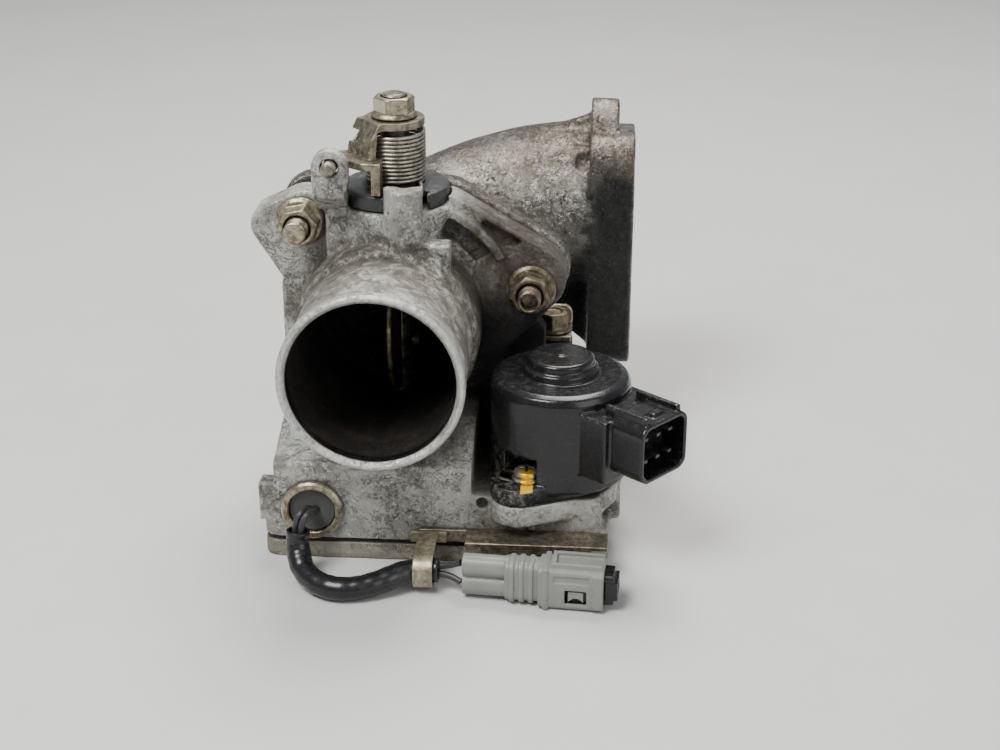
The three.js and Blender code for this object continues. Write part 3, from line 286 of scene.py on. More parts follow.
# ---------------------------------------------------------------- materials
class Look:
    """A material's node tree; each method adds a node and gives its output."""

    def __init__(self, name, **sockets):
        self.mat = bpy.data.materials.new(name)
        self.mat.use_nodes = True
        self.tree = self.mat.node_tree
        self.shader = self.tree.nodes["Principled BSDF"]
        for key, value in sockets.items():
            self.shader.inputs[key.replace("_", " ")].default_value = value
        self.where = self.tree.nodes.new("ShaderNodeTexCoord").outputs["Object"]

    def node(self, kind, **values):
        made = self.tree.nodes.new("ShaderNode" + kind)
        for key, value in values.items():
            setattr(made, key, value)
        return made

    def feed(self, socket, value):
        if isinstance(value, bpy.types.NodeSocket):
            self.tree.links.new(value, socket)
        else:
            socket.default_value = value

    def noise(self, size, detail=5, rough=0.6, warp=0.0):
        """Noise whose features are about size millimetres."""
        made = self.node("TexNoise")
        self.feed(made.inputs["Vector"], self.where)
        self.feed(made.inputs["Scale"], 1 / (size * MM))
        self.feed(made.inputs["Detail"], detail)
        self.feed(made.inputs["Roughness"], rough)
        self.feed(made.inputs["Distortion"], warp)
        return made.outputs["Fac"]

    def step(self, value, lo, hi):
        """0 below lo, 1 above hi; lo may be the larger."""
        made = self.node("MapRange")
        made.interpolation_type = "SMOOTHSTEP"
        self.feed(made.inputs["Value"], value)
        if lo < hi:
            self.feed(made.inputs["From Min"], lo)
            self.feed(made.inputs["From Max"], hi)
        else:
            self.feed(made.inputs["From Min"], hi)
            self.feed(made.inputs["From Max"], lo)
            self.feed(made.inputs["To Min"], 1.0)
            self.feed(made.inputs["To Max"], 0.0)
        return made.outputs["Result"]

    def calc(self, operation, a, b=0.0):
        made = self.node("Math", operation=operation)
        self.feed(made.inputs[0], a)
        self.feed(made.inputs[1], b)
        return made.outputs[0]

    def times(self, a, b):
        return self.calc("MULTIPLY", a, b)

    def mix(self, share, a, b):
        made = self.node("Mix", data_type="RGBA")
        self.feed(made.inputs["Factor"], share)
        for key, value in (("A", a), ("B", b)):
            socket = [s for s in made.inputs if s.name == key and s.type == "RGBA"][0]
            self.feed(socket, value if isinstance(value, bpy.types.NodeSocket) else (*value, 1))
        return [s for s in made.outputs if s.type == "RGBA"][0]

    def axis(self, letter):
        """A coordinate of the row frame, in metres."""
        made = self.node("SeparateXYZ")
        self.feed(made.inputs[0], self.where)
        return made.outputs[letter]

    def round_distance(self, axis, a, b):
        """Distance from an axis-parallel line through (a, b) in millimetres, in metres."""
        letters = {"x": "YZ", "y": "XZ", "z": "XY"}[axis]
        du = self.calc("SUBTRACT", self.axis(letters[0]), a * MM)
        dv = self.calc("SUBTRACT", self.axis(letters[1]), b * MM)
        both = self.calc("ADD", self.calc("MULTIPLY", du, du), self.calc("MULTIPLY", dv, dv))
        return self.calc("SQRT", both)

    def hollows(self, reach):
        """1 in corners and under edges, 0 on open faces; the looks use it to paint shade."""
        made = self.node("AmbientOcclusion", samples=4)
        self.feed(made.inputs["Distance"], reach * MM)
        return self.calc("SUBTRACT", 1.0, made.outputs["AO"])

    def edges(self, lo=0.52, hi=0.62):
        made = self.node("NewGeometry")
        return self.step(made.outputs["Pointiness"], lo, hi)

    def upward(self):
        made = self.node("NewGeometry")
        part = self.node("SeparateXYZ")
        self.feed(part.inputs[0], made.outputs["Normal"])
        return self.step(part.outputs["Z"], 0.25, 0.95)

    def bump(self, *layers):
        """Layers are (height, millimetres of relief)."""
        below = None
        for height, relief in layers:
            made = self.node("Bump")
            self.feed(made.inputs["Strength"], 1.0)
            self.feed(made.inputs["Distance"], relief * MM)
            self.feed(made.inputs["Height"], height)
            if below is not None:
                self.feed(made.inputs["Normal"], below)
            below = made.outputs["Normal"]
        self.feed(self.shader.inputs["Normal"], below)

    def finish(self, color, roughness=None, metallic=None):
        self.feed(self.shader.inputs["Base Color"], color)
        if roughness is not None:
            self.feed(self.shader.inputs["Roughness"], roughness)
        if metallic is not None:
            self.feed(self.shader.inputs["Metallic"], metallic)
        return self.mat


SOOT = (0.012, 0.009, 0.007)
# The grime colour below also serves as painted shade in hollows.
GRIME_AND_SHADE = (0.075, 0.062, 0.045)


def cast_look(name, light, mid, dark, grime_share, zones=None, metal=0.55, rough=0.42):
    """Weathered casting: mottled metal, pits, fine dark veins, oily grime in patches, painted shade in the
    hollows, rubbed edges.
    """
    look = Look(name)
    pale = tuple(min(1, c * 1.5) for c in light)
    tone = look.mix(look.step(look.noise(16, 7, 0.65), 0.4, 0.6), light, mid)
    tone = look.mix(look.times(look.step(look.noise(3.4, 9, 0.75), 0.53, 0.68), 0.8), tone, dark)
    pits = look.step(look.noise(0.8, 4, 0.8), 0.6, 0.68)
    tone = look.mix(look.times(pits, 0.6), tone, dark)
    bloom = look.step(look.noise(2.0, 8, 0.8, 0.8), 0.55, 0.6)
    tone = look.mix(look.times(bloom, 0.7), tone, pale)
    line = look.calc("ABSOLUTE", look.calc("SUBTRACT", look.noise(6, 9, 0.72, 1.2), 0.5))
    vein = look.times(look.step(line, 0.018, 0.004), look.step(look.noise(19, 4), 0.42, 0.55))
    tone = look.mix(look.times(vein, 0.8), tone, GRIME_AND_SHADE)
    patch = look.step(look.noise(24, 8, 0.7, 0.6), 0.64 - grime_share * 0.2, 0.72 - grime_share * 0.2)
    # painted shade: ambient occlusion darkens corners and hollows toward the grime colour, mixed with the
    # real grime patches
    painted_corner_shade = look.step(look.hollows(8), 0.2, 0.75)
    grime_and_corner_shade = look.calc("MAXIMUM", look.times(patch, 0.6), look.times(painted_corner_shade, 0.92))
    tone = look.mix(grime_and_corner_shade, tone, GRIME_AND_SHADE)
    tone = look.mix(look.times(look.edges(), 0.5), tone, pale)
    shine = look.calc("ADD", look.times(look.noise(4, 6), 0.3), rough)
    share = look.calc("SUBTRACT", metal, look.times(grime_and_corner_shade, metal * 0.7))
    if zones:
        tone, shine, share = zones(look, tone, shine, share)
    crinkle = look.noise(1.5, 4, 0.6, 1.6)
    look.bump((crinkle, 0.42), (look.noise(3.6, 5, 0.6), 0.4), (pits, -0.12), (vein, -0.14))
    return look.finish(tone, shine, share)


def body_zones(look, tone, rough, metal):
    """Bright end of the inlet spigot, soot in the bore, stains on the barrel, oil to the right and painted
    shade low on the right behind the flange front.
    """
    radius = look.round_distance("y", 0, BORE_Z)
    y = look.axis("Y")
    barrel = look.times(look.step(radius, 0.0345, 0.0325), look.step(y, -0.057, -0.05))
    smear = look.step(look.noise(7, 9, 0.8, 1.4), 0.42, 0.54)
    tone = look.mix(look.times(look.times(barrel, smear), 0.8), tone, (0.11, 0.09, 0.068))
    ridge = look.times(look.step(y, -0.031, -0.026), look.step(y, -0.013, -0.018))
    ridge = look.times(look.times(ridge, look.step(radius, 0.036, 0.034)), 0.75)
    tone = look.mix(look.times(ridge, look.step(look.noise(5, 8, 0.8), 0.42, 0.55)), tone,
                    (0.06, 0.052, 0.045))
    aside = look.times(look.step(look.axis("X"), 0.012, 0.036), look.step(y, -0.026, -0.012))
    aside = look.times(aside, look.step(look.noise(11, 7, 0.7), 0.22, 0.5))
    tone = look.mix(look.times(aside, 0.9), tone, (0.05, 0.038, 0.027))
    # painted shade: near black low on the right, from just behind the flange front backwards
    low = look.times(look.step(look.axis("Z"), 0.088, 0.07), look.step(look.axis("X"), 0.02, 0.03))
    low = look.times(low, look.step(y, -0.014, -0.008))
    tone = look.mix(look.times(low, 0.95), tone, (0.006, 0.005, 0.005))
    at_rim = look.times(look.step(y, -0.0575, -0.0582), look.step(radius, 0.0345, 0.0335))
    rim = look.mix(look.step(look.noise(1.8, 7, 0.75), 0.42, 0.7), (0.60, 0.60, 0.57), (0.33, 0.32, 0.29))
    tone = look.mix(at_rim, tone, rim)
    inside = look.times(look.step(radius, 0.0288, 0.0279), look.step(y, -0.0622, -0.0612))
    deep = look.mix(look.step(look.noise(7, 6), 0.4, 0.7), (0.006, 0.005, 0.004), (0.022, 0.016, 0.011))
    tone = look.mix(inside, tone, deep)
    rough = look.calc("ADD", rough, look.times(at_rim, -0.18))
    metal = look.times(metal, look.calc("SUBTRACT", 1.0, look.times(inside, 0.95)))
    metal = look.calc("ADD", metal, look.times(at_rim, 0.3))
    return tone, rough, metal


def elbow_zones(look, tone, rough, metal):
    """The elbow is brown on top; below, beside the joint and round its outlet it is near black with painted
    shade.
    """
    z, x, y = look.axis("Z"), look.axis("X"), look.axis("Y")
    top = look.times(look.step(z, 0.1, 0.112), look.step(look.noise(12, 7, 0.7), 0.3, 0.6))
    tone = look.mix(look.times(top, 0.6), tone, (0.11, 0.082, 0.056))
    flecks = look.times(look.step(look.noise(2.4, 7, 0.75), 0.5, 0.56), look.step(z, 0.108, 0.098))
    flecks = look.times(flecks, look.step(look.noise(26, 3), 0.42, 0.55))
    tone = look.mix(look.times(flecks, 0.85), tone, (0.012, 0.011, 0.01))
    # painted shade: near black below and round the outlet flange, its end face left alone; less metallic
    # there too
    uneven = look.times(look.calc("SUBTRACT", look.noise(14, 7, 0.7), 0.5), 0.03)
    height = look.calc("ADD", z, uneven)
    low = look.step(height, 0.089, 0.07)
    reach = look.calc("ADD", x, uneven)
    outlet = look.times(look.step(reach, 0.062, 0.068), look.step(height, 0.112, 0.1))
    face = look.step(x, 0.0805, 0.0812)
    share = look.times(look.calc("MAXIMUM", low, outlet), look.calc("SUBTRACT", 1.0, face))
    tone = look.mix(look.times(share, 0.95), tone, (0.005, 0.005, 0.005))
    along = look.calc("SUBTRACT", y, OUTLET_Y * MM)
    up = look.calc("SUBTRACT", z, OUTLET_Z * MM)
    far = look.calc("SQRT", look.calc("ADD", look.times(along, along), look.times(up, up)))
    port = look.times(look.step(far, 0.0272, 0.0262), look.step(x, 0.06, 0.066))
    tone = look.mix(port, tone, SOOT)
    metal = look.times(metal, look.calc("SUBTRACT", 1.0, look.times(share, 0.7)))
    return tone, rough, metal


PAINT_LOW, PAINT_HIGH = 30.2, 36.4  # millimetres


def paint_mark(look, tone):
    """A dab of yellow paint over the front motor screw and the flange before it."""
    aside = look.calc("ABSOLUTE", look.calc("SUBTRACT", look.axis("X"), 0.0485))
    aside = look.calc("ADD", aside, look.times(look.calc("SUBTRACT", look.noise(1.5, 4), 0.5), 0.001))
    mark = look.times(look.step(aside, 0.0021, 0.0018), look.step(look.axis("Y"), -0.0446, -0.0449))
    mark = look.times(mark, look.step(look.axis("Z"), PAINT_LOW * MM, (PAINT_LOW + 0.4) * MM))
    mark = look.times(mark, look.step(look.axis("Z"), PAINT_HIGH * MM, (PAINT_HIGH - 0.3) * MM))
    return look.mix(mark, tone, (0.70, 0.42, 0.02))


def plated_look(name, base, stain, roughness=0.36, edge=None, marked=False):
    """Zinc plate gone dull and yellow, with stains, rubbed edges and painted shade in its hollows."""
    look = Look(name, Metallic=0.85)
    tone = look.mix(look.step(look.noise(2.6, 8, 0.75), 0.38, 0.62), base, stain)
    specks = look.step(look.noise(0.6, 5, 0.8), 0.6, 0.68)
    tone = look.mix(look.times(specks, 0.6), tone, GRIME_AND_SHADE)
    # painted shade: ambient occlusion darkens the hollows toward the grime colour
    tone = look.mix(look.times(look.step(look.hollows(2.5), 0.25, 0.8), 0.88), tone, GRIME_AND_SHADE)
    tone = look.mix(look.times(look.edges(), 0.7), tone, edge or tuple(min(1, c * 1.45) for c in base))
    if marked:
        tone = paint_mark(look, tone)
    rough = look.calc("ADD", look.times(look.noise(1.2, 5), 0.3), roughness - 0.1)
    look.bump((look.noise(0.5, 4, 0.7), 0.03), (look.noise(3, 4), 0.08))
    return look.finish(tone, rough)


def plastic_look(name, base, dust, roughness=0.42, dusty=0.5, zones=None):
    """Moulded plastic: fine grain, dust on what faces up, scuffs on its edges."""
    look = Look(name, Coat_Weight=0.2, Coat_Roughness=0.16, Specular_IOR_Level=0.3)
    tone = look.mix(look.noise(9, 4), base, tuple(c * 1.5 + 0.003 for c in base))
    film = look.times(look.upward(), look.step(look.noise(3.5, 8, 0.75), 0.45, 0.75))
    specks = look.step(look.noise(0.8, 3, 0.8), 0.66, 0.7)
    share = look.calc("ADD", look.times(film, dusty), look.times(specks, 0.4 * dusty))
    scratch = look.calc("ABSOLUTE", look.calc("SUBTRACT", look.noise(7, 6, 0.6, 1.5), 0.5))
    share = look.calc("MAXIMUM", share, look.times(look.step(scratch, 0.006, 0.002), dusty * 0.5))
    tone = look.mix(share, tone, dust)
    tone = look.mix(look.times(look.edges(), 0.35), tone, dust)
    if zones:
        tone, share = zones(look, tone, share)
    rough = look.calc("ADD", look.times(share, 0.4), look.calc("ADD", roughness - 0.08,
                      look.times(look.noise(1.5, 5), 0.16)))
    look.bump((look.noise(0.45, 3, 0.6), 0.02), (look.noise(6, 3), 0.1))
    return look.finish(tone, rough)


def motor_zones(look, tone, share):
    """Pale oxide dust has settled low on the motor, round its screw seats."""
    low = look.times(look.step(look.axis("Z"), 0.045, 0.031), look.step(look.axis("X"), 0.056, 0.042))
    dust = look.times(low, look.step(look.noise(2.6, 8, 0.8), 0.48, 0.62))
    tone = look.mix(look.times(dust, 0.8), tone, (0.2, 0.19, 0.165))
    return paint_mark(look, tone), look.calc("MAXIMUM", share, dust)


def rubber_look(name, base, scuff, roughness=0.5):
    look = Look(name)
    rub = look.step(look.noise(1.6, 7, 0.75, 0.8), 0.56, 0.7)
    tone = look.mix(look.times(rub, 0.55), base, scuff)
    rough = look.calc("ADD", roughness - 0.15, look.times(look.noise(2, 5), 0.3))
    look.bump((look.noise(0.6, 4), 0.03), (look.noise(5, 4), 0.08))
    return look.finish(tone, rough)


LOOKS = {
    "body": cast_look("cast_body", (0.47, 0.47, 0.43), (0.27, 0.265, 0.235), (0.04, 0.034, 0.027), 0.36,
                      body_zones),
    "elbow": cast_look("cast_elbow", (0.24, 0.23, 0.205), (0.135, 0.126, 0.11), (0.022, 0.019, 0.016), 0.4,
                       elbow_zones, 0.92, 0.12),
    "cover": cast_look("cast_cover", (0.34, 0.32, 0.27), (0.22, 0.195, 0.155), (0.07, 0.058, 0.044), 0.5),
    "zinc": plated_look("yellowed_zinc", (0.42, 0.38, 0.28), (0.15, 0.12, 0.075), 0.32, (0.72, 0.66, 0.48)),
    "stamped": plated_look("stamped_zinc", (0.31, 0.275, 0.205), (0.12, 0.1, 0.07), 0.34, (0.74, 0.66, 0.44)),
    "pale": plated_look("pale_zinc", (0.42, 0.385, 0.28), (0.2, 0.17, 0.115), 0.4, (0.66, 0.6, 0.42)),
    "bolt": plated_look("brown_bolt", (0.2, 0.165, 0.115), (0.06, 0.045, 0.03), 0.4, (0.46, 0.4, 0.29)),
    "bright": plated_look("bright_zinc", (0.5, 0.47, 0.39), (0.22, 0.19, 0.14), 0.34),
    "steel": plated_look("turned_steel", (0.36, 0.34, 0.28), (0.13, 0.115, 0.09), 0.3),
    "spring": plated_look("spring_wire", (0.44, 0.41, 0.34), (0.15, 0.125, 0.09), 0.28),
    "brass": plated_look("plate_brass", (0.66, 0.55, 0.33), (0.25, 0.18, 0.09), 0.38),
    "marked": plated_look("marked_screw", (0.5, 0.47, 0.39), (0.22, 0.19, 0.14), 0.34, None, True),
    "plate": plated_look("plate_metal", (0.30, 0.25, 0.15), (0.03, 0.024, 0.017), 0.42, (0.8, 0.7, 0.45)),
    "copper": plated_look("windings", (0.55, 0.28, 0.15), (0.25, 0.12, 0.06), 0.4),
    "black": plastic_look("black_plastic", (0.005, 0.005, 0.0055), (0.1, 0.098, 0.09), 0.26, 0.2),
    "motor": plastic_look("motor_plastic", (0.004, 0.004, 0.0044), (0.09, 0.087, 0.08), 0.24, 0.3,
                          motor_zones),
    "drum": plastic_look("drum_plastic", (0.016, 0.017, 0.018), (0.17, 0.16, 0.14), 0.42, 0.6),
    "grey": plastic_look("grey_plastic", (0.155, 0.16, 0.143), (0.36, 0.345, 0.3), 0.4, 0.42),
    "potting": plastic_look("potting", (0.05, 0.05, 0.048), (0.2, 0.19, 0.17), 0.5, 0.5),
    "nylon": plastic_look("gear_nylon", (0.62, 0.59, 0.50), (0.35, 0.32, 0.26), 0.5, 0.15),
    "rubber": rubber_look("seal_rubber", (0.014, 0.014, 0.014), (0.09, 0.085, 0.08)),
    "sleeve": rubber_look("sleeve_vinyl", (0.006, 0.006, 0.0065), (0.07, 0.068, 0.064), 0.3),
    "wire": rubber_look("wire_jacket", (0.028, 0.028, 0.027), (0.2, 0.195, 0.18), 0.42),
    "gasket": rubber_look("gasket_fibre", (0.02, 0.019, 0.018), (0.08, 0.072, 0.06), 0.8),
}


# ---------------------------------------------------------------- camera, floor and light
CAMERA_AT, CAMERA_LENS = (75.2, -556.2, 295.1), 63  # millimetres
CAMERA_PITCH, CAMERA_YAW = 23.8, -4  # degrees
FLOOR_HALF, FLOOR_Z = 4000, -0.05


def make_camera():
    pitch, yaw = math.radians(CAMERA_PITCH), math.radians(CAMERA_YAW)
    aim = Vector((math.sin(yaw) * math.cos(pitch), math.cos(yaw) * math.cos(pitch), -math.sin(pitch)))
    lens = bpy.data.cameras.new("camera")
    lens.lens = CAMERA_LENS
    lens.sensor_width = 36
    eye = bpy.data.objects.new("camera", lens)
    eye.location = Vector(CAMERA_AT) * MM
    eye.rotation_euler = aim.to_track_quat("-Z", "Y").to_euler()
    bpy.context.scene.collection.objects.link(eye)
    bpy.context.scene.camera = eye


def make_floor():
    look = Look("pale_floor", Roughness=0.7)
    tone = look.mix(look.noise(60, 4), (0.52, 0.515, 0.50), (0.58, 0.575, 0.56))
    look.finish(tone)
    ends = [(-1, -1), (1, -1), (1, 1), (-1, 1)]
    floor = new_object("floor", [(u * FLOOR_HALF, v * FLOOR_HALF, FLOOR_Z) for u, v in ends], [[0, 1, 2, 3]])
    floor.data.materials.append(look.mat)


def make_light(name, place_m, size, power, color=(1, 1, 1)):
    lamp = bpy.data.lights.new(name, "AREA")
    lamp.size = size
    lamp.energy = power
    lamp.color = color
    made = bpy.data.objects.new(name, lamp)
    made.location = place_m
    made.rotation_euler = (Vector((0.02, 0.02, 0.06)) - Vector(place_m)).to_track_quat("-Z", "Y").to_euler()
    bpy.context.scene.collection.objects.link(made)


def make_studio():
    world = bpy.data.worlds.new("studio")
    world.use_nodes = True
    world.node_tree.nodes["Background"].inputs["Color"].default_value = (0.9, 0.93, 1.0, 1)
    world.node_tree.nodes["Background"].inputs["Strength"].default_value = 0.4
    bpy.context.scene.world = world
    make_light("key", (-0.35, -0.5, 0.95), 0.45, 15)
    make_light("top", (0.12, 0.45, 1.0), 0.5, 14, (1.0, 0.98, 0.95))
    make_light("fill", (0.8, -0.7, 0.5), 0.7, 4)


make_camera()
make_floor()
make_studio()


# ---------------------------------------------------------------- pigtail: two wires in a sleeve
OUT_OF_SWITCH = [(-23.2, -44.8, 18.6), (-23.2, -47.2, 18.7), (-23.1, -49.6, 19.6), (-23.3, -52.6, 21.4),
                 (-24.4, -55, 21.7), (-25.5, -56.2, 19.8)]
THROUGH_SLEEVE = [(-26.2, -56.7, 16.6), (-26.4, -57.2, 12.8), (-25.9, -58.9, 9.2), (-24, -63, 5.9),
                  (-18.5, -69, 4.4), (-12, -72, 4.1),
                  (-5, -71.4, 4.2), (2.5, -68.4, 5.2), (9.5, -64.8, 6.6), (15.8, -63.2, 7),
                  (20.8, -63.2, 7.2)]
OUT_OF_SLEEVE = [(24.5, -64, 7.6), (28.2, -65.6, 8)]


def beside(centre, offset, lift):
    """A route parallel to a centre line, parting from it over its last two points."""
    side = Vector((1, 0, 0))
    last = len(centre) - 1
    route = []
    for i, point in enumerate(centre):
        along = (centre[min(i + 1, last)] - centre[max(i - 1, 0)]).normalized()
        side = (side - along * side.dot(along)).normalized()
        spread = 0 if i < len(centre) - len(OUT_OF_SLEEVE) else lift / (len(centre) - i)
        route.append(point + side * (offset * 0.4 if spread else offset) + Vector((0, 0, spread)))
    return route


def make_wire(name, side):
    centre = [Vector(p) for p in OUT_OF_SWITCH + THROUGH_SLEEVE + OUT_OF_SLEEVE]
    line = [p * MM for p in catmull(beside(centre, side * WIRE_APART, side * 3), 6)]
    data = bpy.data.curves.new(name, "CURVE")
    data.dimensions = "3D"
    data.bevel_depth = WIRE_R * MM
    data.bevel_resolution = 5
    data.use_fill_caps = True
    strand = data.splines.new("POLY")
    strand.points.add(len(line) - 1)
    for point, at in zip(strand.points, line):
        point.co = (*at, 1)
    data.materials.append(LOOKS["wire"])
    made = bpy.data.objects.new(name + "_strand", data)
    bpy.context.scene.collection.objects.link(made)
    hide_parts(name)
    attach(made, "housing")
    length = sum((b - a).length for a, b in zip(line, line[1:]))
    return made, line[0], length


def make_sleeve():
    line = catmull(THROUGH_SLEEVE, 10)
    wall = tube(line, SLEEVE_R, 48, lambda t: SLEEVE_R + 0.12 * math.sin(37 * t) * math.sin(61 * t + 1))
    ends = [line[0] * 2 - line[1], line[-1] * 2 - line[-2]]
    build(wall, cuts=[tube([ends[0], *line, ends[1]], SLEEVE_INNER, 48)])
    skin(wall, 0.32, 2)
    return settle(wall, "wire_sleeve_outer", ["wire_sleeve"], "sleeve")


# ---------------------------------------------------------------- connector on the pigtail
def at_connector(made):
    return turn_about(made, CONNECTOR_X, CONNECTOR_Y, CONNECTOR_TURN)


def make_connector():
    shell = prism(rounded(-6, 6, 0.4, 14.6, 1.8), "yz", 25, 46)
    adds = [rod("x", 0, z, 0, 15, 3.7) for z in (4.6, 11.4)]
    adds.append(prism(rounded(-4.6, 4.6, 0.8, 14.8, 3.2), "yz", 14, 26))
    adds += [prism(rounded(-5.3, 5.3, 0.4, 15.2, 3.4), "yz", a, a + 1.5) for a in (15.5, 18.6, 21.7)]
    adds.append(block(29, 45.5, -4.5, 4.5, 14, 16.4))
    adds.append(block(26.5, 28.2, -6.5, 6.5, 0.4, 14.9))
    adds.append(block(42.5, 45.9, -6.5, 6.5, 1.5, 13.5))
    cuts = [block(30.5, 47, -3.2, 3.2, 15, 17), block(33.6, 40.6, -7, -4, 2.6, 7.6)]
    cuts.append(block(30, 41.5, -6.6, -5.5, 10, 12.6))
    cuts.append(prism(rounded(-4.8, 4.8, 1.8, 13.2, 1.4), "yz", 33, 48))
    cuts += [rod("x", 0, z, -1, 8, 1.6) for z in (4.6, 11.4)]
    build(shell, adds, cuts)
    bar = build(prism([(34.6, 3.2), (36.2, 4.6), (38.0, 4.6), (39.6, 3.2), (39.6, 7.0), (34.6, 7.0)], "xz",
                      -5.4, -4.5))
    skin(at_connector(shell), 0.26, 3)
    settle(shell, "connector_shell_moulding", ["connector_shell"], "grey")
    skin(at_connector(bar), 0.2, 2)
    settle(bar, "connector_latch", ["connector_shell"], "grey")
    core = prism(rounded(-4.4, 4.4, 2.2, 12.8, 1.2), "yz", 34, 49)
    rim = block(46.4, 50.4, -4.6, 4.6, 4.4, 10.6)
    build(core, [rim], [block(44, 52, -2.6, 2.6, 5.6, 9.4)])
    skin(at_connector(core), 0.25, 3)
    settle(core, "connector_retainer", ["connector_insert"], "black")
    return [shell, bar, core]


# ---------------------------------------------------------------- throttle body casting
def flange_outlines(disc_r, left_ear, right_r, lower_r):
    disc = (0, BORE_Z, disc_r)
    return [
        band([disc, left_ear]),
        band([disc, (17, 103.5, right_r + 1), (*RIGHT_EAR, right_r)]),
        band([disc, (*REAR_BOLTS["left"], lower_r), (*REAR_BOLTS["right"], lower_r)]),
    ]


def arc(inner, outer, start, end, steps=24):
    """Part of a ring round the bore, as an outline."""
    def at(r, k):
        angle = math.radians(start + (end - start) * k / steps)
        return r * math.cos(angle), BORE_Z + r * math.sin(angle)

    return [at(outer, k) for k in range(steps + 1)] + [at(inner, k) for k in range(steps, -1, -1)]


def duct_parts():
    tube_wall = lathe("y", 0, BORE_Z, [(0, -58.2), (29.2, -58.2), (29.2, -26), (30.8, -24.6), (30.8, -20.4),
                                       (31, -19), (31, 0), (0, 0)], 128)
    plates = [prism(o, "xz", FLANGE_FRONT, FLANGE_BACK) for o in flange_outlines(36, (-29, 106, 10), 11.5,
                                                                                 8.6)]
    plates.append(prism(band([(-29, 106, 10), (-40.5, 103.8, 7.2), (-35, 88, 3.5)]), "xz", -5, 7))
    plates.append(block(-38, 38, FLANGE_FRONT, FLANGE_BACK, 22, 84))
    plates.append(prism([(36, 22), (52, 22), (52, 67), (44, 77), (36, 84)], "xz", 0, FLANGE_BACK))
    plates.append(prism(arc(ARCH_IN, ARCH_OUT, ARCH_FROM, ARCH_TO), "xz", -9, -4))
    plates.append(ring("y", 2.8, 22.6, -45.35, -44, 1.2, 1.9))
    return tube_wall, plates


def tower_parts():
    tower = build(rod("z", SHAFT_X, 0, 90, 113.2, 19.5), cuts=[block(-30, 30, FLANGE_BACK, 30, 80, 120)])
    rear = rod("z", SHAFT_X, 0, 104, 113.2, 11.4)
    post = [
        rod("z", 6.3, -19, 90, 122.5, 5.8),
        rod("z", 2.3, -20.2, 92, 123.1, 2.4),
        rod("z", 10.6, -20.4, 92, 123.1, 2.2),
        block(0.5, 12.1, -19, -12, 90, 122.5),
        block(10, 21.5, -21.5, -14, 92, 104),
    ]
    lug = prism(band([(LUG_X, LUG_Z, 6.1), (LUG_X, 124.5, 6.1)]), "xz", -21, -16.9)
    slope = [(-21, 124.5), (-21, 119), (-11, 112), (-4.5, 111.3), (-4.5, 112), (-16.9, 122), (-16.9, 124.5)]
    web = prism(slope, "yz", LUG_X - 6.1, -12.6)
    return [tower, rear, *post, lug, web, block(-21, -12.6, -11, FLANGE_BACK, 92, 112.5)]


def housing_parts():
    box = build(
        prism(rounded(-40.4, 75.5, -45, 37, 5), "xy", 7.3, 12.3),
        [
            prism(rounded(-36, 73, -45, 34, 5), "xy", 7.3, 25.2),
            prism(rounded(-36, 73, 3, 34, 4), "xy", 7.3, 29.5),
            prism([(-45, 20), (-45, 35), (-24, 42.5), (-4, 47), (-4, 20)], "yz", -36, 30),
        ],
        [rod("z", MOTOR_X, MOTOR_Y, 25.2, 70, MOTOR_R + 1.4)],
    )
    pad = prism(band([(*MOTOR_EARS[0], 9.3), (MOTOR_X, MOTOR_Y, 20), (*MOTOR_EARS[1], 9.3)]), "xy", 17.5,
                25.2)
    return [
        box,
        pad,
        block(-41.5, -34, -45, -37, 13.5, 27),
        block(72, 79.2, -29, -22, 9.5, 18.5),
        block(48.6, 51.2, -47.2, -44, 13.5, 18),
        rod("z", STAY_X, STAY_Y, 20, STAY_TOP, 7),
        rod("z", SHAFT_X, 0, 20, 34.5, 11.4),
    ]


def casting_cuts():
    cavity = build(
        prism(rounded(-32, 69, -41, 30, 4), "xy", 0, 22),
        cuts=[rod("z", x, y, -1, 23, 5.2) for x, y in COVER_SCREWS],
    )
    cuts = [cavity]
    cuts += [rod("z", x, y, 0, 17.5, 2.2) for x, y in COVER_SCREWS]
    cuts.append(rod("z", *IDLER, 20, 24.7, 3.2))
    cuts.append(rod("z", MOTOR_X, MOTOR_Y, 20, 30, 12))
    cuts.append(rod("z", MOTOR_X, MOTOR_Y, 23, 30, 14))
    cuts += [rod("z", x, y, 19, 30, 2.15) for x, y in MOTOR_SCREWS]
    cuts.append(rod("y", SWITCH_X, SWITCH_Z, -50, -29.4, 9.05))
    cuts.append(rod("y", 33.5, 22.4, -50, -41.5, 1.9))
    cuts.append(rod("y", 0, BORE_Z, -70, 10, BORE_R + BORE_ROOM, 128))
    cuts += [rod("z", SHAFT_X, 0, 94, 110, 5.05), rod("z", SHAFT_X, 0, 103.8, 115, 8.65)]
    cuts += [rod("z", SHAFT_X, 0, 20, 50, 5.05), rod("z", SHAFT_X, 0, 20, 34, 8.65)]
    cuts.append(rod("y", LUG_X, LUG_Z, -25, -10, 2.75))
    cuts += [rod("y", x, z, -12, 10, 4.3) for x, z in STUDS.values()]
    cuts += [rod("y", x, z, -3, 10, 4.1) for x, z in REAR_BOLTS.values()]
    cuts.append(rod("z", STAY_X, STAY_Y, 42, 60, 3.3))
    cuts.append(prism(band([(31.2, 106.2, 1), (37.8, 99.8, 1), (42.5, 99.8, 1)]), "xz", -12, -1))
    cuts.append(prism(arc(35, ARCH_IN - 0.5, ARCH_FROM + 5, ARCH_TO - 4), "xz", -12, -1))
    cuts.append(rod("z", SHAFT_X, 0, 113.2, 130, 18.4, 128))
    return cuts


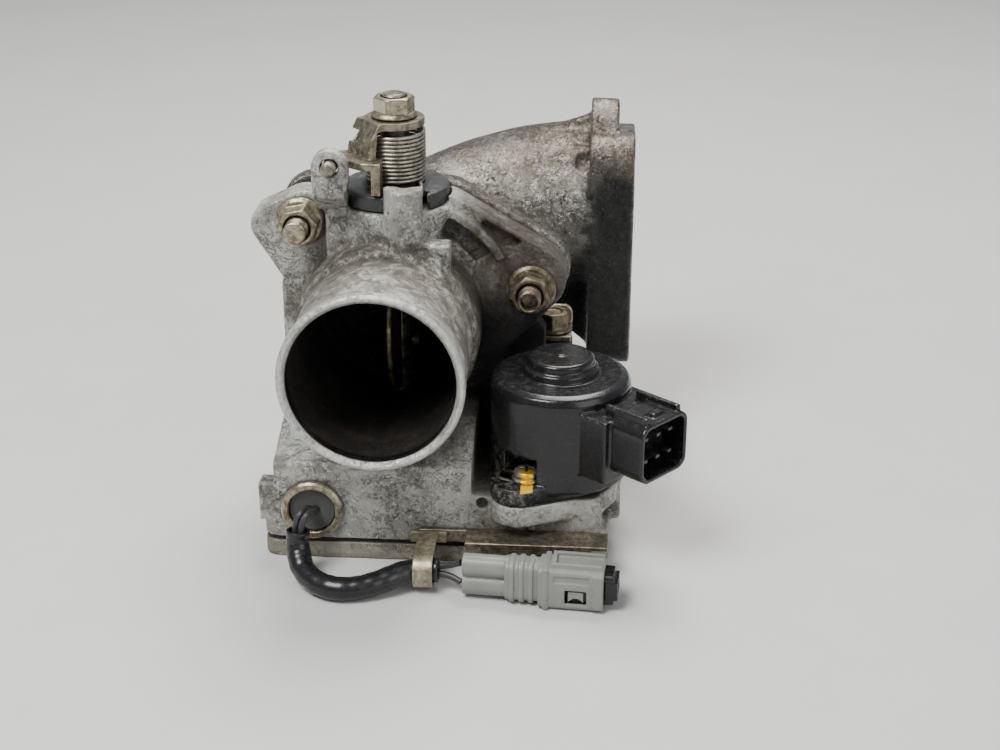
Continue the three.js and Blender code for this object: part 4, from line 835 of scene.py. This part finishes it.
def make_casting():
    body, adds = duct_parts()
    build(body, adds + tower_parts() + housing_parts(), casting_cuts())
    skin(body, 0.75, 5, 0.5, 0.25, 7)
    settle(body, "throttle_body_casting", ["throttle_body"], "body")
    rim = lathe("y", 0, BORE_Z, [(28.3, -63), (29.2, -63), (30, -62.2), (30, -59.6), (29.3, -58.7),
                                 (29.3, -56),
                                 (27, -56), (27, -61.6)], 160)
    skin(rim, 0.3, 3)
    settle(rim, "inlet_rim", ["throttle_body"], "body")


# ---------------------------------------------------------------- gear cover
def make_cover():
    plate = prism(rounded(-40.4, 75.5, -45, 37, 5), "xy", 0, 6)
    relief = build(prism(rounded(-30, 58, -26, 28, 6), "xy", 3.5, 7), cuts=[rod("z", *IDLER, 3, 8, 6)])
    cuts = [relief, rod("z", *IDLER, 2.8, 8, 3.2), rod("y", 52, 2.8, -50, -38, 1.9)]
    for x, y in COVER_SCREWS:
        cuts += [rod("z", x, y, -1, 8, 2.4), rod("z", x, y, -1, 3.7, 4.6)]
    build(plate, cuts=cuts)
    skin(plate, 0.6, 3, 0.5, 0.12, 7)
    settle(plate, "gear_cover_casting", ["gear_cover"], "cover")


# ---------------------------------------------------------------- outlet elbow
DUCT = [(0, 14, 72), (0, 27, 72), (1.6, 42, 72.4), (7.4, 57, 73.8), (18.5, 69.5, 77.4), (33.5, 76.4, 81.6),
        (50, 79.4, 84.8), (66, 80, 86)]


def tower_relief():
    return [
        rod("z", SHAFT_X, 0, 103.7, 125, 11.8),
        rod("z", SHAFT_X, 0, 113, 125, 18.5),
        rod("z", SHAFT_X, 0, 0, 34.8, 11.8),
        block(-60, 60, 0, 20, 0, 30.6),
    ]


def make_elbow():
    back = ELBOW_Y + ELBOW_THICK
    body = tube(catmull(DUCT, 14), 31.8, 96)
    outlines = flange_outlines(37, (-27.5, 106.5, 11.7), 12.5, 8.7)
    adds = [prism(o, "xz", ELBOW_Y, back) for o in outlines]
    adds.append(prism([(24, 100), (66, 100), (66, 122), (52, 117), (24, 104)], "xz", OUTLET_Y - 4,
                      OUTLET_Y + 2))
    adds.append(prism([(36, 60), (66, 33), (66, 58), (36, 64)], "xz", OUTLET_Y - 14, OUTLET_Y - 6))
    corners = [(OUTLET_Y - 21.5, 40, 9), (OUTLET_Y - 21.5, 110.5, 9), (OUTLET_Y + 20, 103, 9),
               (OUTLET_Y + 21.5, 40, 9)]
    adds.append(prism(band(corners), "yz", OUTLET_X0, OUTLET_X1))
    adds.append(prism(band([(OUTLET_Y - 7, 119.5, 9.5), (OUTLET_Y - 9, 104, 14)]), "yz", OUTLET_X0,
                      OUTLET_X0 + 10.5))
    cuts = [tube(catmull([(0, 4, 72), *DUCT[1:-1], (87.5, 80.4, 86.6)], 14), 26.8, 96)]
    cuts.append(rod("x", OUTLET_Y, OUTLET_Z, OUTLET_X0 + 4, OUTLET_X1 + 5, 26.2, 128))
    cuts += [rod("y", x, z, 0, 30, 4.3) for x, z in [*STUDS.values(), *REAR_BOLTS.values()]]
    bolts = [(57.5, 40.5), (102.5, 40.5), (103, 103), (57.5, 110.5), (73, 120.5)]
    cuts += [rod("x", y, z, OUTLET_X0 - 5, OUTLET_X1 + 5, 4.2) for y, z in bolts]
    build(body, adds, cuts + tower_relief())
    skin(body, 0.85, 5, 0.5, 0.35, 8)
    settle(body, "elbow_casting", ["elbow"], "elbow")


# ---------------------------------------------------------------- fasteners
def hexbar(axis, a, b, inner, outer, flats, turn=0.0):
    """A hexagonal bar with its outer end chamfered; inner and outer are places along the axis."""
    r = flats / math.sqrt(3)
    out = 1 if outer > inner else -1
    corners = [(a + r * math.cos(turn + k * math.pi / 3),
                b + r * math.sin(turn + k * math.pi / 3)) for k in range(6)]
    plane = {"x": "yz", "y": "xz", "z": "xy"}[axis]
    bar = prism(corners, plane, min(inner, outer), max(inner, outer))
    crown = lathe(axis, a, b, [(0, inner - out), (r + 1, inner - out), (r + 0.4, outer - out * r * 0.13),
                               (flats * 0.47, outer), (0, outer)])
    return build(bar, meets=[crown])


def threads(axis, a, b, lo, hi, r, pitch=1.0, core=None):
    """A round bar whose surface is grooved from lo to hi; core lists its plain (radius, place) end."""
    depth = pitch * 0.42
    profile = [(0, lo), (r - depth, lo)]
    count = int((hi - lo) / pitch)
    for k in range(count):
        profile += [(r, lo + (k + 0.35) * pitch), (r, lo + (k + 0.6) * pitch),
                    (r - depth, lo + (k + 0.95) * pitch)]
    return lathe(axis, a, b, profile + (core or [(r - depth, hi)]) + [(0, (core or [(0, hi)])[-1][1])])


def make_joint_fasteners():
    for side, turn, finish in (("left", 0.2, "zinc"), ("right", 0.75, "bolt")):
        x, z = STUDS[side]
        stud = threads("y", x, z, -18.6, -3, 3.9, 1.25, [(3.9, -3), (3.9, 15)])
        if side == "right":
            build(stud, cuts=[lathe("y", x, z, [(0, -20), (3.9, -20), (2.7, -18), (2.7, -14.8), (0, -14)])])
        skin(stud, 0.18, 2)
        settle(stud, f"stud_{side}_thread", [f"stud_{side}"], finish)
        nut = hexbar("y", x, z, -6.7, -13.1, 12, turn)
        skirt = lathe("y", x, z, [(0, -5.3), (8.5, -5.3), (8.5, -5.9), (7.4, -7), (0, -7)])
        chamfer = lathe("y", x, z, [(0, -14), (5.4, -14), (4.1, -12.2), (4.1, -4), (0, -4)])
        build(nut, [skirt], [chamfer])
        skin(nut, 0.22, 3)
        settle(nut, f"nut_{side}_flanged", [f"nut_{side}"], finish)
        x, z = REAR_BOLTS[side]
        face = ELBOW_Y + ELBOW_THICK + 0.3
        bolt = build(
            hexbar("y", x, z, face + 1, face + 7, 12),
            [lathe("y", x, z, [(0, face), (8.2, face), (8.2, face + 0.5), (7.4, face + 1.6),
                               (0, face + 1.6)]),
             rod("y", x, z, -2.5, face + 2, 3.85)],
            [rod("y", x, z, face + 6, face + 9, 3.4, 48, 4.4)],
        )
        skin(bolt, 0.3, 3)
        settle(bolt, f"joint_bolt_{side}_head", [f"joint_bolt_{side}"], "bolt")


def make_stay():
    foot = build(
        block(47.4, 60.6, 9.6, 24.6, STAY_TOP + 0.3, STAY_TOP + 2.3),
        [prism(rounded(47.4, 60.6, STAY_TOP + 0.3, 67, 3), "xz", 22.6, 24.6)],
        [rod("z", STAY_X, STAY_Y, 50, 70, 3.5)],
    )
    skin(foot, 0.35, 3)
    settle(foot, "stay_bracket_plate", ["stay_bracket"], "zinc")
    z = STAY_TOP + 2.6
    bolt = build(
        hexbar("z", STAY_X, STAY_Y, z + 1, z + 7, 10.5, 0.5),
        [lathe("z", STAY_X, STAY_Y, [(0, z), (6.5, z), (6.5, z + 0.6), (5.9, z + 1.4), (0, z + 1.4)]),
         rod("z", STAY_X, STAY_Y, 43, z + 1, 3.1)],
        [rod("z", STAY_X, STAY_Y, z + 6.2, z + 9, 3, 48, 3.9)],
    )
    skin(bolt, 0.28, 3)
    settle(bolt, "stay_bolt_head", ["stay_bolt"], "bolt")


def make_motor_screw(name, x, y, look):
    z = MOTOR_FLANGE + 0.3
    cross = [block(x - 2.3, x + 2.3, y - 0.45, y + 0.45, z + 2.2, z + 5),
             block(x - 0.45, x + 0.45, y - 2.3, y + 2.3, z + 2.2, z + 5)]
    screw = build(
        lathe("z", x, y, [(0, z + 0.5), (4.1, z + 0.5), (4.4, z + 2.4), (3.9, z + 3.4), (2.4, z + 3.9),
                          (0, z + 4)]),
        [lathe("z", x, y, [(0, z), (4.9, z), (4.9, z + 0.8), (4.5, z + 1), (0, z + 1)]),
         rod("z", x, y, 20.5, z + 1, 1.9)],
        cross,
    )
    skin(screw, 0.17, 2)
    settle(screw, name + "_head", [name], look)


# ---------------------------------------------------------------- throttle shaft, lever and spring
def make_shaft():
    x = SHAFT_X
    top = [(0, 149), (3.2, 149)]
    turn, z = 1.0, 149 - 0.7
    while z > 139.2:
        top += [(3.95, z), (3.95, z - 0.25 * turn), (3.5, z - 0.6 * turn)]
        z -= turn
    profile = top + [(3.9, 138.9), (4.75, 138.3), (4.75, 20.3), (3.4, 20.3), (3.4, 9.5), (2.9, 9), (0, 9)]
    slit = block(x - 1.05, x + 1.05, -10, 10, 45.2, 98.8)
    bar = build(lathe("z", x, 0, profile),
                cuts=[slit, *[rod("x", 0, z, -10, 10, 1.7) for z in PLATE_SCREWS_Z]])
    skin(bar, 0.22, 2)
    settle(bar, "throttle_shaft_bar", ["throttle_shaft"], "steel", "throttle")
    disc = build(
        lathe("x", -x, BORE_Z, [(0, x - 0.85), (26.1, x - 0.85), (26.3, x - 0.5), (26.3, x + 0.5),
                                (26.1, x + 0.85),
                                (0, x + 0.85)], 160),
        cuts=[rod("x", 0, z, -10, 10, 1.7) for z in PLATE_SCREWS_Z],
    )
    skin(disc, 0.3, 2)
    settle(disc, "butterfly_plate", ["throttle_plate"], "plate", "throttle")


def make_lever():
    profile = [(0, 141), (10.3, 141), (13.4, 136), (14.4, 130), (14.4, 127.5), (11.6, 127.5), (11.6, 130.5),
               (10.7, 138.5), (0, 138.5)]
    wall = turn_about(prism(profile, "xz", -6.75, 6.75), SHAFT_X, 0, LEVER_WALL)
    slot = turn_about(block(8.8, 17, -11, -2, 133.5, 137.7), SHAFT_X, 0, LEVER_WALL)
    foot = prism([(-1.2, -18.6), (-1.2, -12), (-5.2, -11.3), (-12.6, -1.5), (-17.6, -3), (-20, -6),
                  (-20, -12.2),
                  (-15, -12.2), (-11.2, -15.4), (-7.4, -18.2)], "xy", 127.5, 130)
    made = build(
        rod("z", SHAFT_X, 0, 138.5, 141, 10, 128),
        [wall, foot, block(-4.2, -1.2, -18.6, -12, 119.2, 130)],
        [rod("z", SHAFT_X, 0, 100, 138.5, 10.6, 96), slot,
         rod("z", SHAFT_X, 0, 130, 150, 4.05)],
    )
    skin(made, 0.3, 4)
    settle(made, "lever_plate", ["lever"], "stamped", "throttle")
    nut = build(
        hexbar("z", SHAFT_X, 0, 142.3, 148.1, 12, math.pi / 12),
        [lathe("z", SHAFT_X, 0, [(0, 141.3), (7.6, 141.3), (7.6, 141.8), (6.9, 142.9), (0, 142.9)])],
        [lathe("z", SHAFT_X, 0, [(0, 130), (4.12, 130), (4.12, 147.2), (5, 149), (0, 149)])],
    )
    skin(nut, 0.2, 3)
    settle(nut, "shaft_nut_flanged", ["shaft_nut"], "zinc", "throttle")


SPRING_R, SPRING_WIRE = 9.7, 1.2
SPRING_LOW, SPRING_HIGH, SPRING_TURNS, SPRING_START = 119.6, 137.6, 12.6, -28


def make_spring():
    z0, z1 = SPRING_LOW + SPRING_WIRE / 2, SPRING_HIGH - SPRING_WIRE / 2

    def at(degrees, radius, z):
        angle = math.radians(degrees)
        return Vector((SHAFT_X + radius * math.cos(angle), radius * math.sin(angle), z))

    start = catmull([at(SPRING_START - 22, 15.4, z0 - 2.8), at(SPRING_START - 20, 14.6, z0 - 0.8),
                     at(SPRING_START - 12, 12.2, z0), at(SPRING_START, SPRING_R, z0)], 8)[:-1]
    count = int(SPRING_TURNS * 48)
    coil = [at(SPRING_START + SPRING_TURNS * 360 * i / count, SPRING_R, z0 + (z1 - z0) * i / count)
            for i in range(count + 1)]
    end = SPRING_START + SPRING_TURNS * 360
    tail = catmull([coil[-1], at(end + 8, 10.7, z1), at(end + 15, 12.2, z1 - 1), at(end + 21, 14, z1 - 2.2)],
                   8)[1:]
    made = tube(start + coil + tail, SPRING_WIRE / 2, 14)
    made.name = made.data.name = "torsion_spring_wire"
    made.data.materials.append(LOOKS["spring"])
    for face in made.data.polygons:
        face.use_smooth = True
    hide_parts("torsion_spring")
    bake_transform(made)


def make_drum():
    top, bottom = 118.6, 113.5
    cup = lathe("z", SHAFT_X, 0, [(6.2, top - 2.2), (16, top - 2.2), (16, bottom), (18, bottom),
                                  (18, top - 0.6),
                                  (17.4, top), (11, top), (10.6, top + 0.7), (6.2, top + 0.7)], 160)
    build(cup, cuts=[block(9.6, 13.4, -20, -8.6, bottom - 1, top + 1),
                     block(9.6, 17, -20, -12.4, bottom - 1, bottom + 2.2)])
    skin(cup, 0.32, 3)
    settle(cup, "spring_drum_cup", ["spring_drum"], "drum")


def make_stop_screw():
    bar = threads("y", LUG_X, LUG_Z, -23.4, -13.4, 2.5, 0.8, [(2.3, -13.2), (1.7, -12.5)])
    head = rod("y", LUG_X, LUG_Z, -24, -23, 1.8, 64, 2.4)
    build(bar, [head])
    skin(bar, 0.14, 2)
    settle(bar, "stop_screw_thread", ["stop_screw"], "steel")


# ---------------------------------------------------------------- drive motor
def at_motor(made):
    return turn_about(made, MOTOR_X, MOTOR_Y, MOTOR_TURN)


def make_motor():
    x, y, top = MOTOR_X, MOTOR_Y, MOTOR_TOP
    (fx, fy), (rx, ry) = MOTOR_SCREWS
    body = lathe("z", x, y, [(0, 25.5), (MOTOR_R, 28.5), (MOTOR_R, top - 3), (MOTOR_R - 1, top - 1),
                             (MOTOR_R - 3, top - 0.1), (12.8, top), (12.4, top + 2.4), (11.2, top + 3),
                             (11, top + 5.2), (10.2, top + 5.9), (0, top + 5.9)], 160)
    adds = [prism(band([(*MOTOR_EARS[0], 9.3), (x, y, 20), (*MOTOR_EARS[1], 9.3)]), "xy", MOTOR_BASE,
                  MOTOR_FLANGE)]
    adds.append(rod("z", x, y, top + 5, top + 6.4, 1.6))
    adds.append(rod("z", x, y, 22, 26.5, 11.65))
    adds.append(at_motor(block(8, 30.7, -12.8, 12.8, 36, 57.5)))
    adds.append(at_motor(block(14, 31, 10, 18.2, 38, 56.5)))
    adds.append(at_motor(prism(rounded(-10.5, 12.5, 38.8, 59.3, 4.5), "yz", 30, 44)))
    adds += [at_motor(block(26, 43, b0, b1, 56, 61.4)) for b0, b1 in ((-7.6, -5.6), (7.6, 9.6))]
    adds.append(at_motor(block(38, 41, -1.5, 3.5, 58, 60.6)))
    cuts = [at_motor(prism(rounded(-8.9, 10.9, 40.4, 57.7, 3.2), "yz", 33, 50))]
    cuts.append(rod("z", fx - 1, fy + 0.6, MOTOR_FLANGE, MOTOR_FLANGE + 9, 6.6))
    cuts.append(rod("z", rx, ry, MOTOR_FLANGE, MOTOR_FLANGE + 9, 6.6))
    cuts.append(prism(band([(fx, fy, 2.9), (fx - 6.7, fy + 3, 2.9)]), "xy", MOTOR_BASE - 1, MOTOR_FLANGE + 1))
    cuts.append(rod("z", rx, ry, MOTOR_BASE - 1, MOTOR_FLANGE + 1, 2.9))
    cuts.append(lathe("z", x, y, [(0, 29), (13.2, 29), (13.2, 42), (20.3, 43.5), (20.3, 59), (4, 59), (4, 62),
                                  (0, 62)]))
    cuts.append(rod("z", x, y, 20, 30, 8.3))
    build(body, adds, cuts)
    skin(body, 0.38, 5)
    settle(body, "motor_housing_moulding", ["motor_housing"], "motor")
    liner = build(
        prism(band([(fx, fy, 3.9), (fx - 6.7, fy + 3, 3.9)]), "xy", MOTOR_FLANGE - 0.5, MOTOR_FLANGE + 0.22),
        cuts=[prism(band([(fx, fy, 2.6), (fx - 6.7, fy + 3, 2.6)]), "xy", MOTOR_BASE, MOTOR_FLANGE + 2)],
    )
    skin(liner, 0.16, 2)
    settle(liner, "motor_slot_liner", ["motor_housing"], "bright")


# ---------------------------------------------------------------- switch, clamp and bracket
def make_switch():
    ring_piece = lathe("y", SWITCH_X, SWITCH_Z, [(0, -29.8), (0, -43), (7.8, -43), (7.8, -47.2), (8.1, -47.6),
                                                 (9.7, -47.6), (10.5, -46.8), (10.5, -45.6), (10.1, -45.3),
                                                 (8.8, -45.3), (8.8, -29.8)], 128)
    skin(ring_piece, 0.2, 2)
    settle(ring_piece, "switch_can", ["switch_body"], "zinc")
    disc = lathe("y", SWITCH_X, SWITCH_Z, [(0, -45.7), (4, -45.8), (6.6, -45.9), (7.6, -46.2), (7.6, -43.3),
                                           (0, -43.3)], 96)
    build(disc, cuts=[rod("y", SWITCH_X + side * WIRE_APART, SWITCH_Z, -50, -44.4,
                          WIRE_R + 0.1) for side in (1, -1)])
    skin(disc, 0.2, 3)
    settle(disc, "switch_potting_fill", ["switch_potting"], "potting")


def make_clamp():
    y, z = -63.2, 7
    loop = build(
        ring("x", y, z, 12.6, 19.1, 4.7, 5.8),
        [block(12.6, 19.1, y, -47.3, z + 4.7, z + 5.8), block(9.8, 21.9, -48.4, -47.3, z + 2, z + 5.8)],
        [rod("x", y, z, 11, 21, 4.7)],
    )
    skin(loop, 0.22, 3)
    settle(loop, "cable_clamp_strip", ["cable_clamp"], "pale")


def make_bracket():
    plate = build(
        block(28.5, 75.5, -55.5, -45.3, 11.5, 13.1),
        [block(36.5, 69.5, -55.5, -53.9, 9.5, 13.1), block(43, 61, -46.9, -45.3, 0.6, 13.1),
         block(12.6, 29.5, -46.9, -45.3, 8.6, 13.1)],
        [rod("y", 52, 2.8, -50, -40, 1.9)],
    )
    skin(plate, 0.3, 4)
    settle(plate, "connector_bracket_plate", ["connector_bracket"], "stamped")
    screw = build(rod("y", 52, 2.8, -49.2, -47.2, 2.3, 64, 2.4), [rod("y", 52, 2.8, -48, -39, 1.6)],
                  [block(50.4, 53.6, -50, -48.5, 2.5, 3.1), block(51.7, 52.3, -50, -48.5, 1.2, 4.4)])
    skin(screw, 0.12, 2)
    settle(screw, "bracket_screw_head", ["bracket_screw"], "zinc")


# ---------------------------------------------------------------- the pieces, cords first
SLEEVE = make_sleeve()
CONNECTOR_PIECES = make_connector()
for wire_name, side in (("wire_1", 1), ("wire_2", -1)):
    strand, leaves, reach = make_wire(wire_name, side)

make_casting()
make_cover()
make_elbow()
make_joint_fasteners()
make_stay()
make_motor_screw("motor_screw_front", *MOTOR_SCREWS[0], "marked")
make_motor_screw("motor_screw_rear", *MOTOR_SCREWS[1], "bright")
make_shaft()
make_lever()
make_spring()
make_drum()
make_stop_screw()
make_motor()
make_switch()
make_clamp()
make_bracket()

KEPT = {
    "gasket": ["cover_gasket", "joint_gasket"],
    "zinc": ["cover_screw_1", "cover_screw_2", "cover_screw_3", "cover_screw_4", "gear_nut"],
    "steel": ["plate_screw_1", "plate_screw_2", "upper_bearing", "lower_bearing", "intermediate_pin",
              "motor_bearing", "motor_rotor"],
    "rubber": ["upper_seal", "lower_seal", "motor_oring"],
    "nylon": ["throttle_gear", "intermediate_gear"],
    "copper": ["motor_stator"],
    "brass": ["motor_pinion"],
    "black": ["motor_pin_header"],
}
for look, nodes in KEPT.items():
    for node in nodes:
        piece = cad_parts[node]
        piece.data.materials.clear()
        piece.data.materials.append(LOOKS[look])
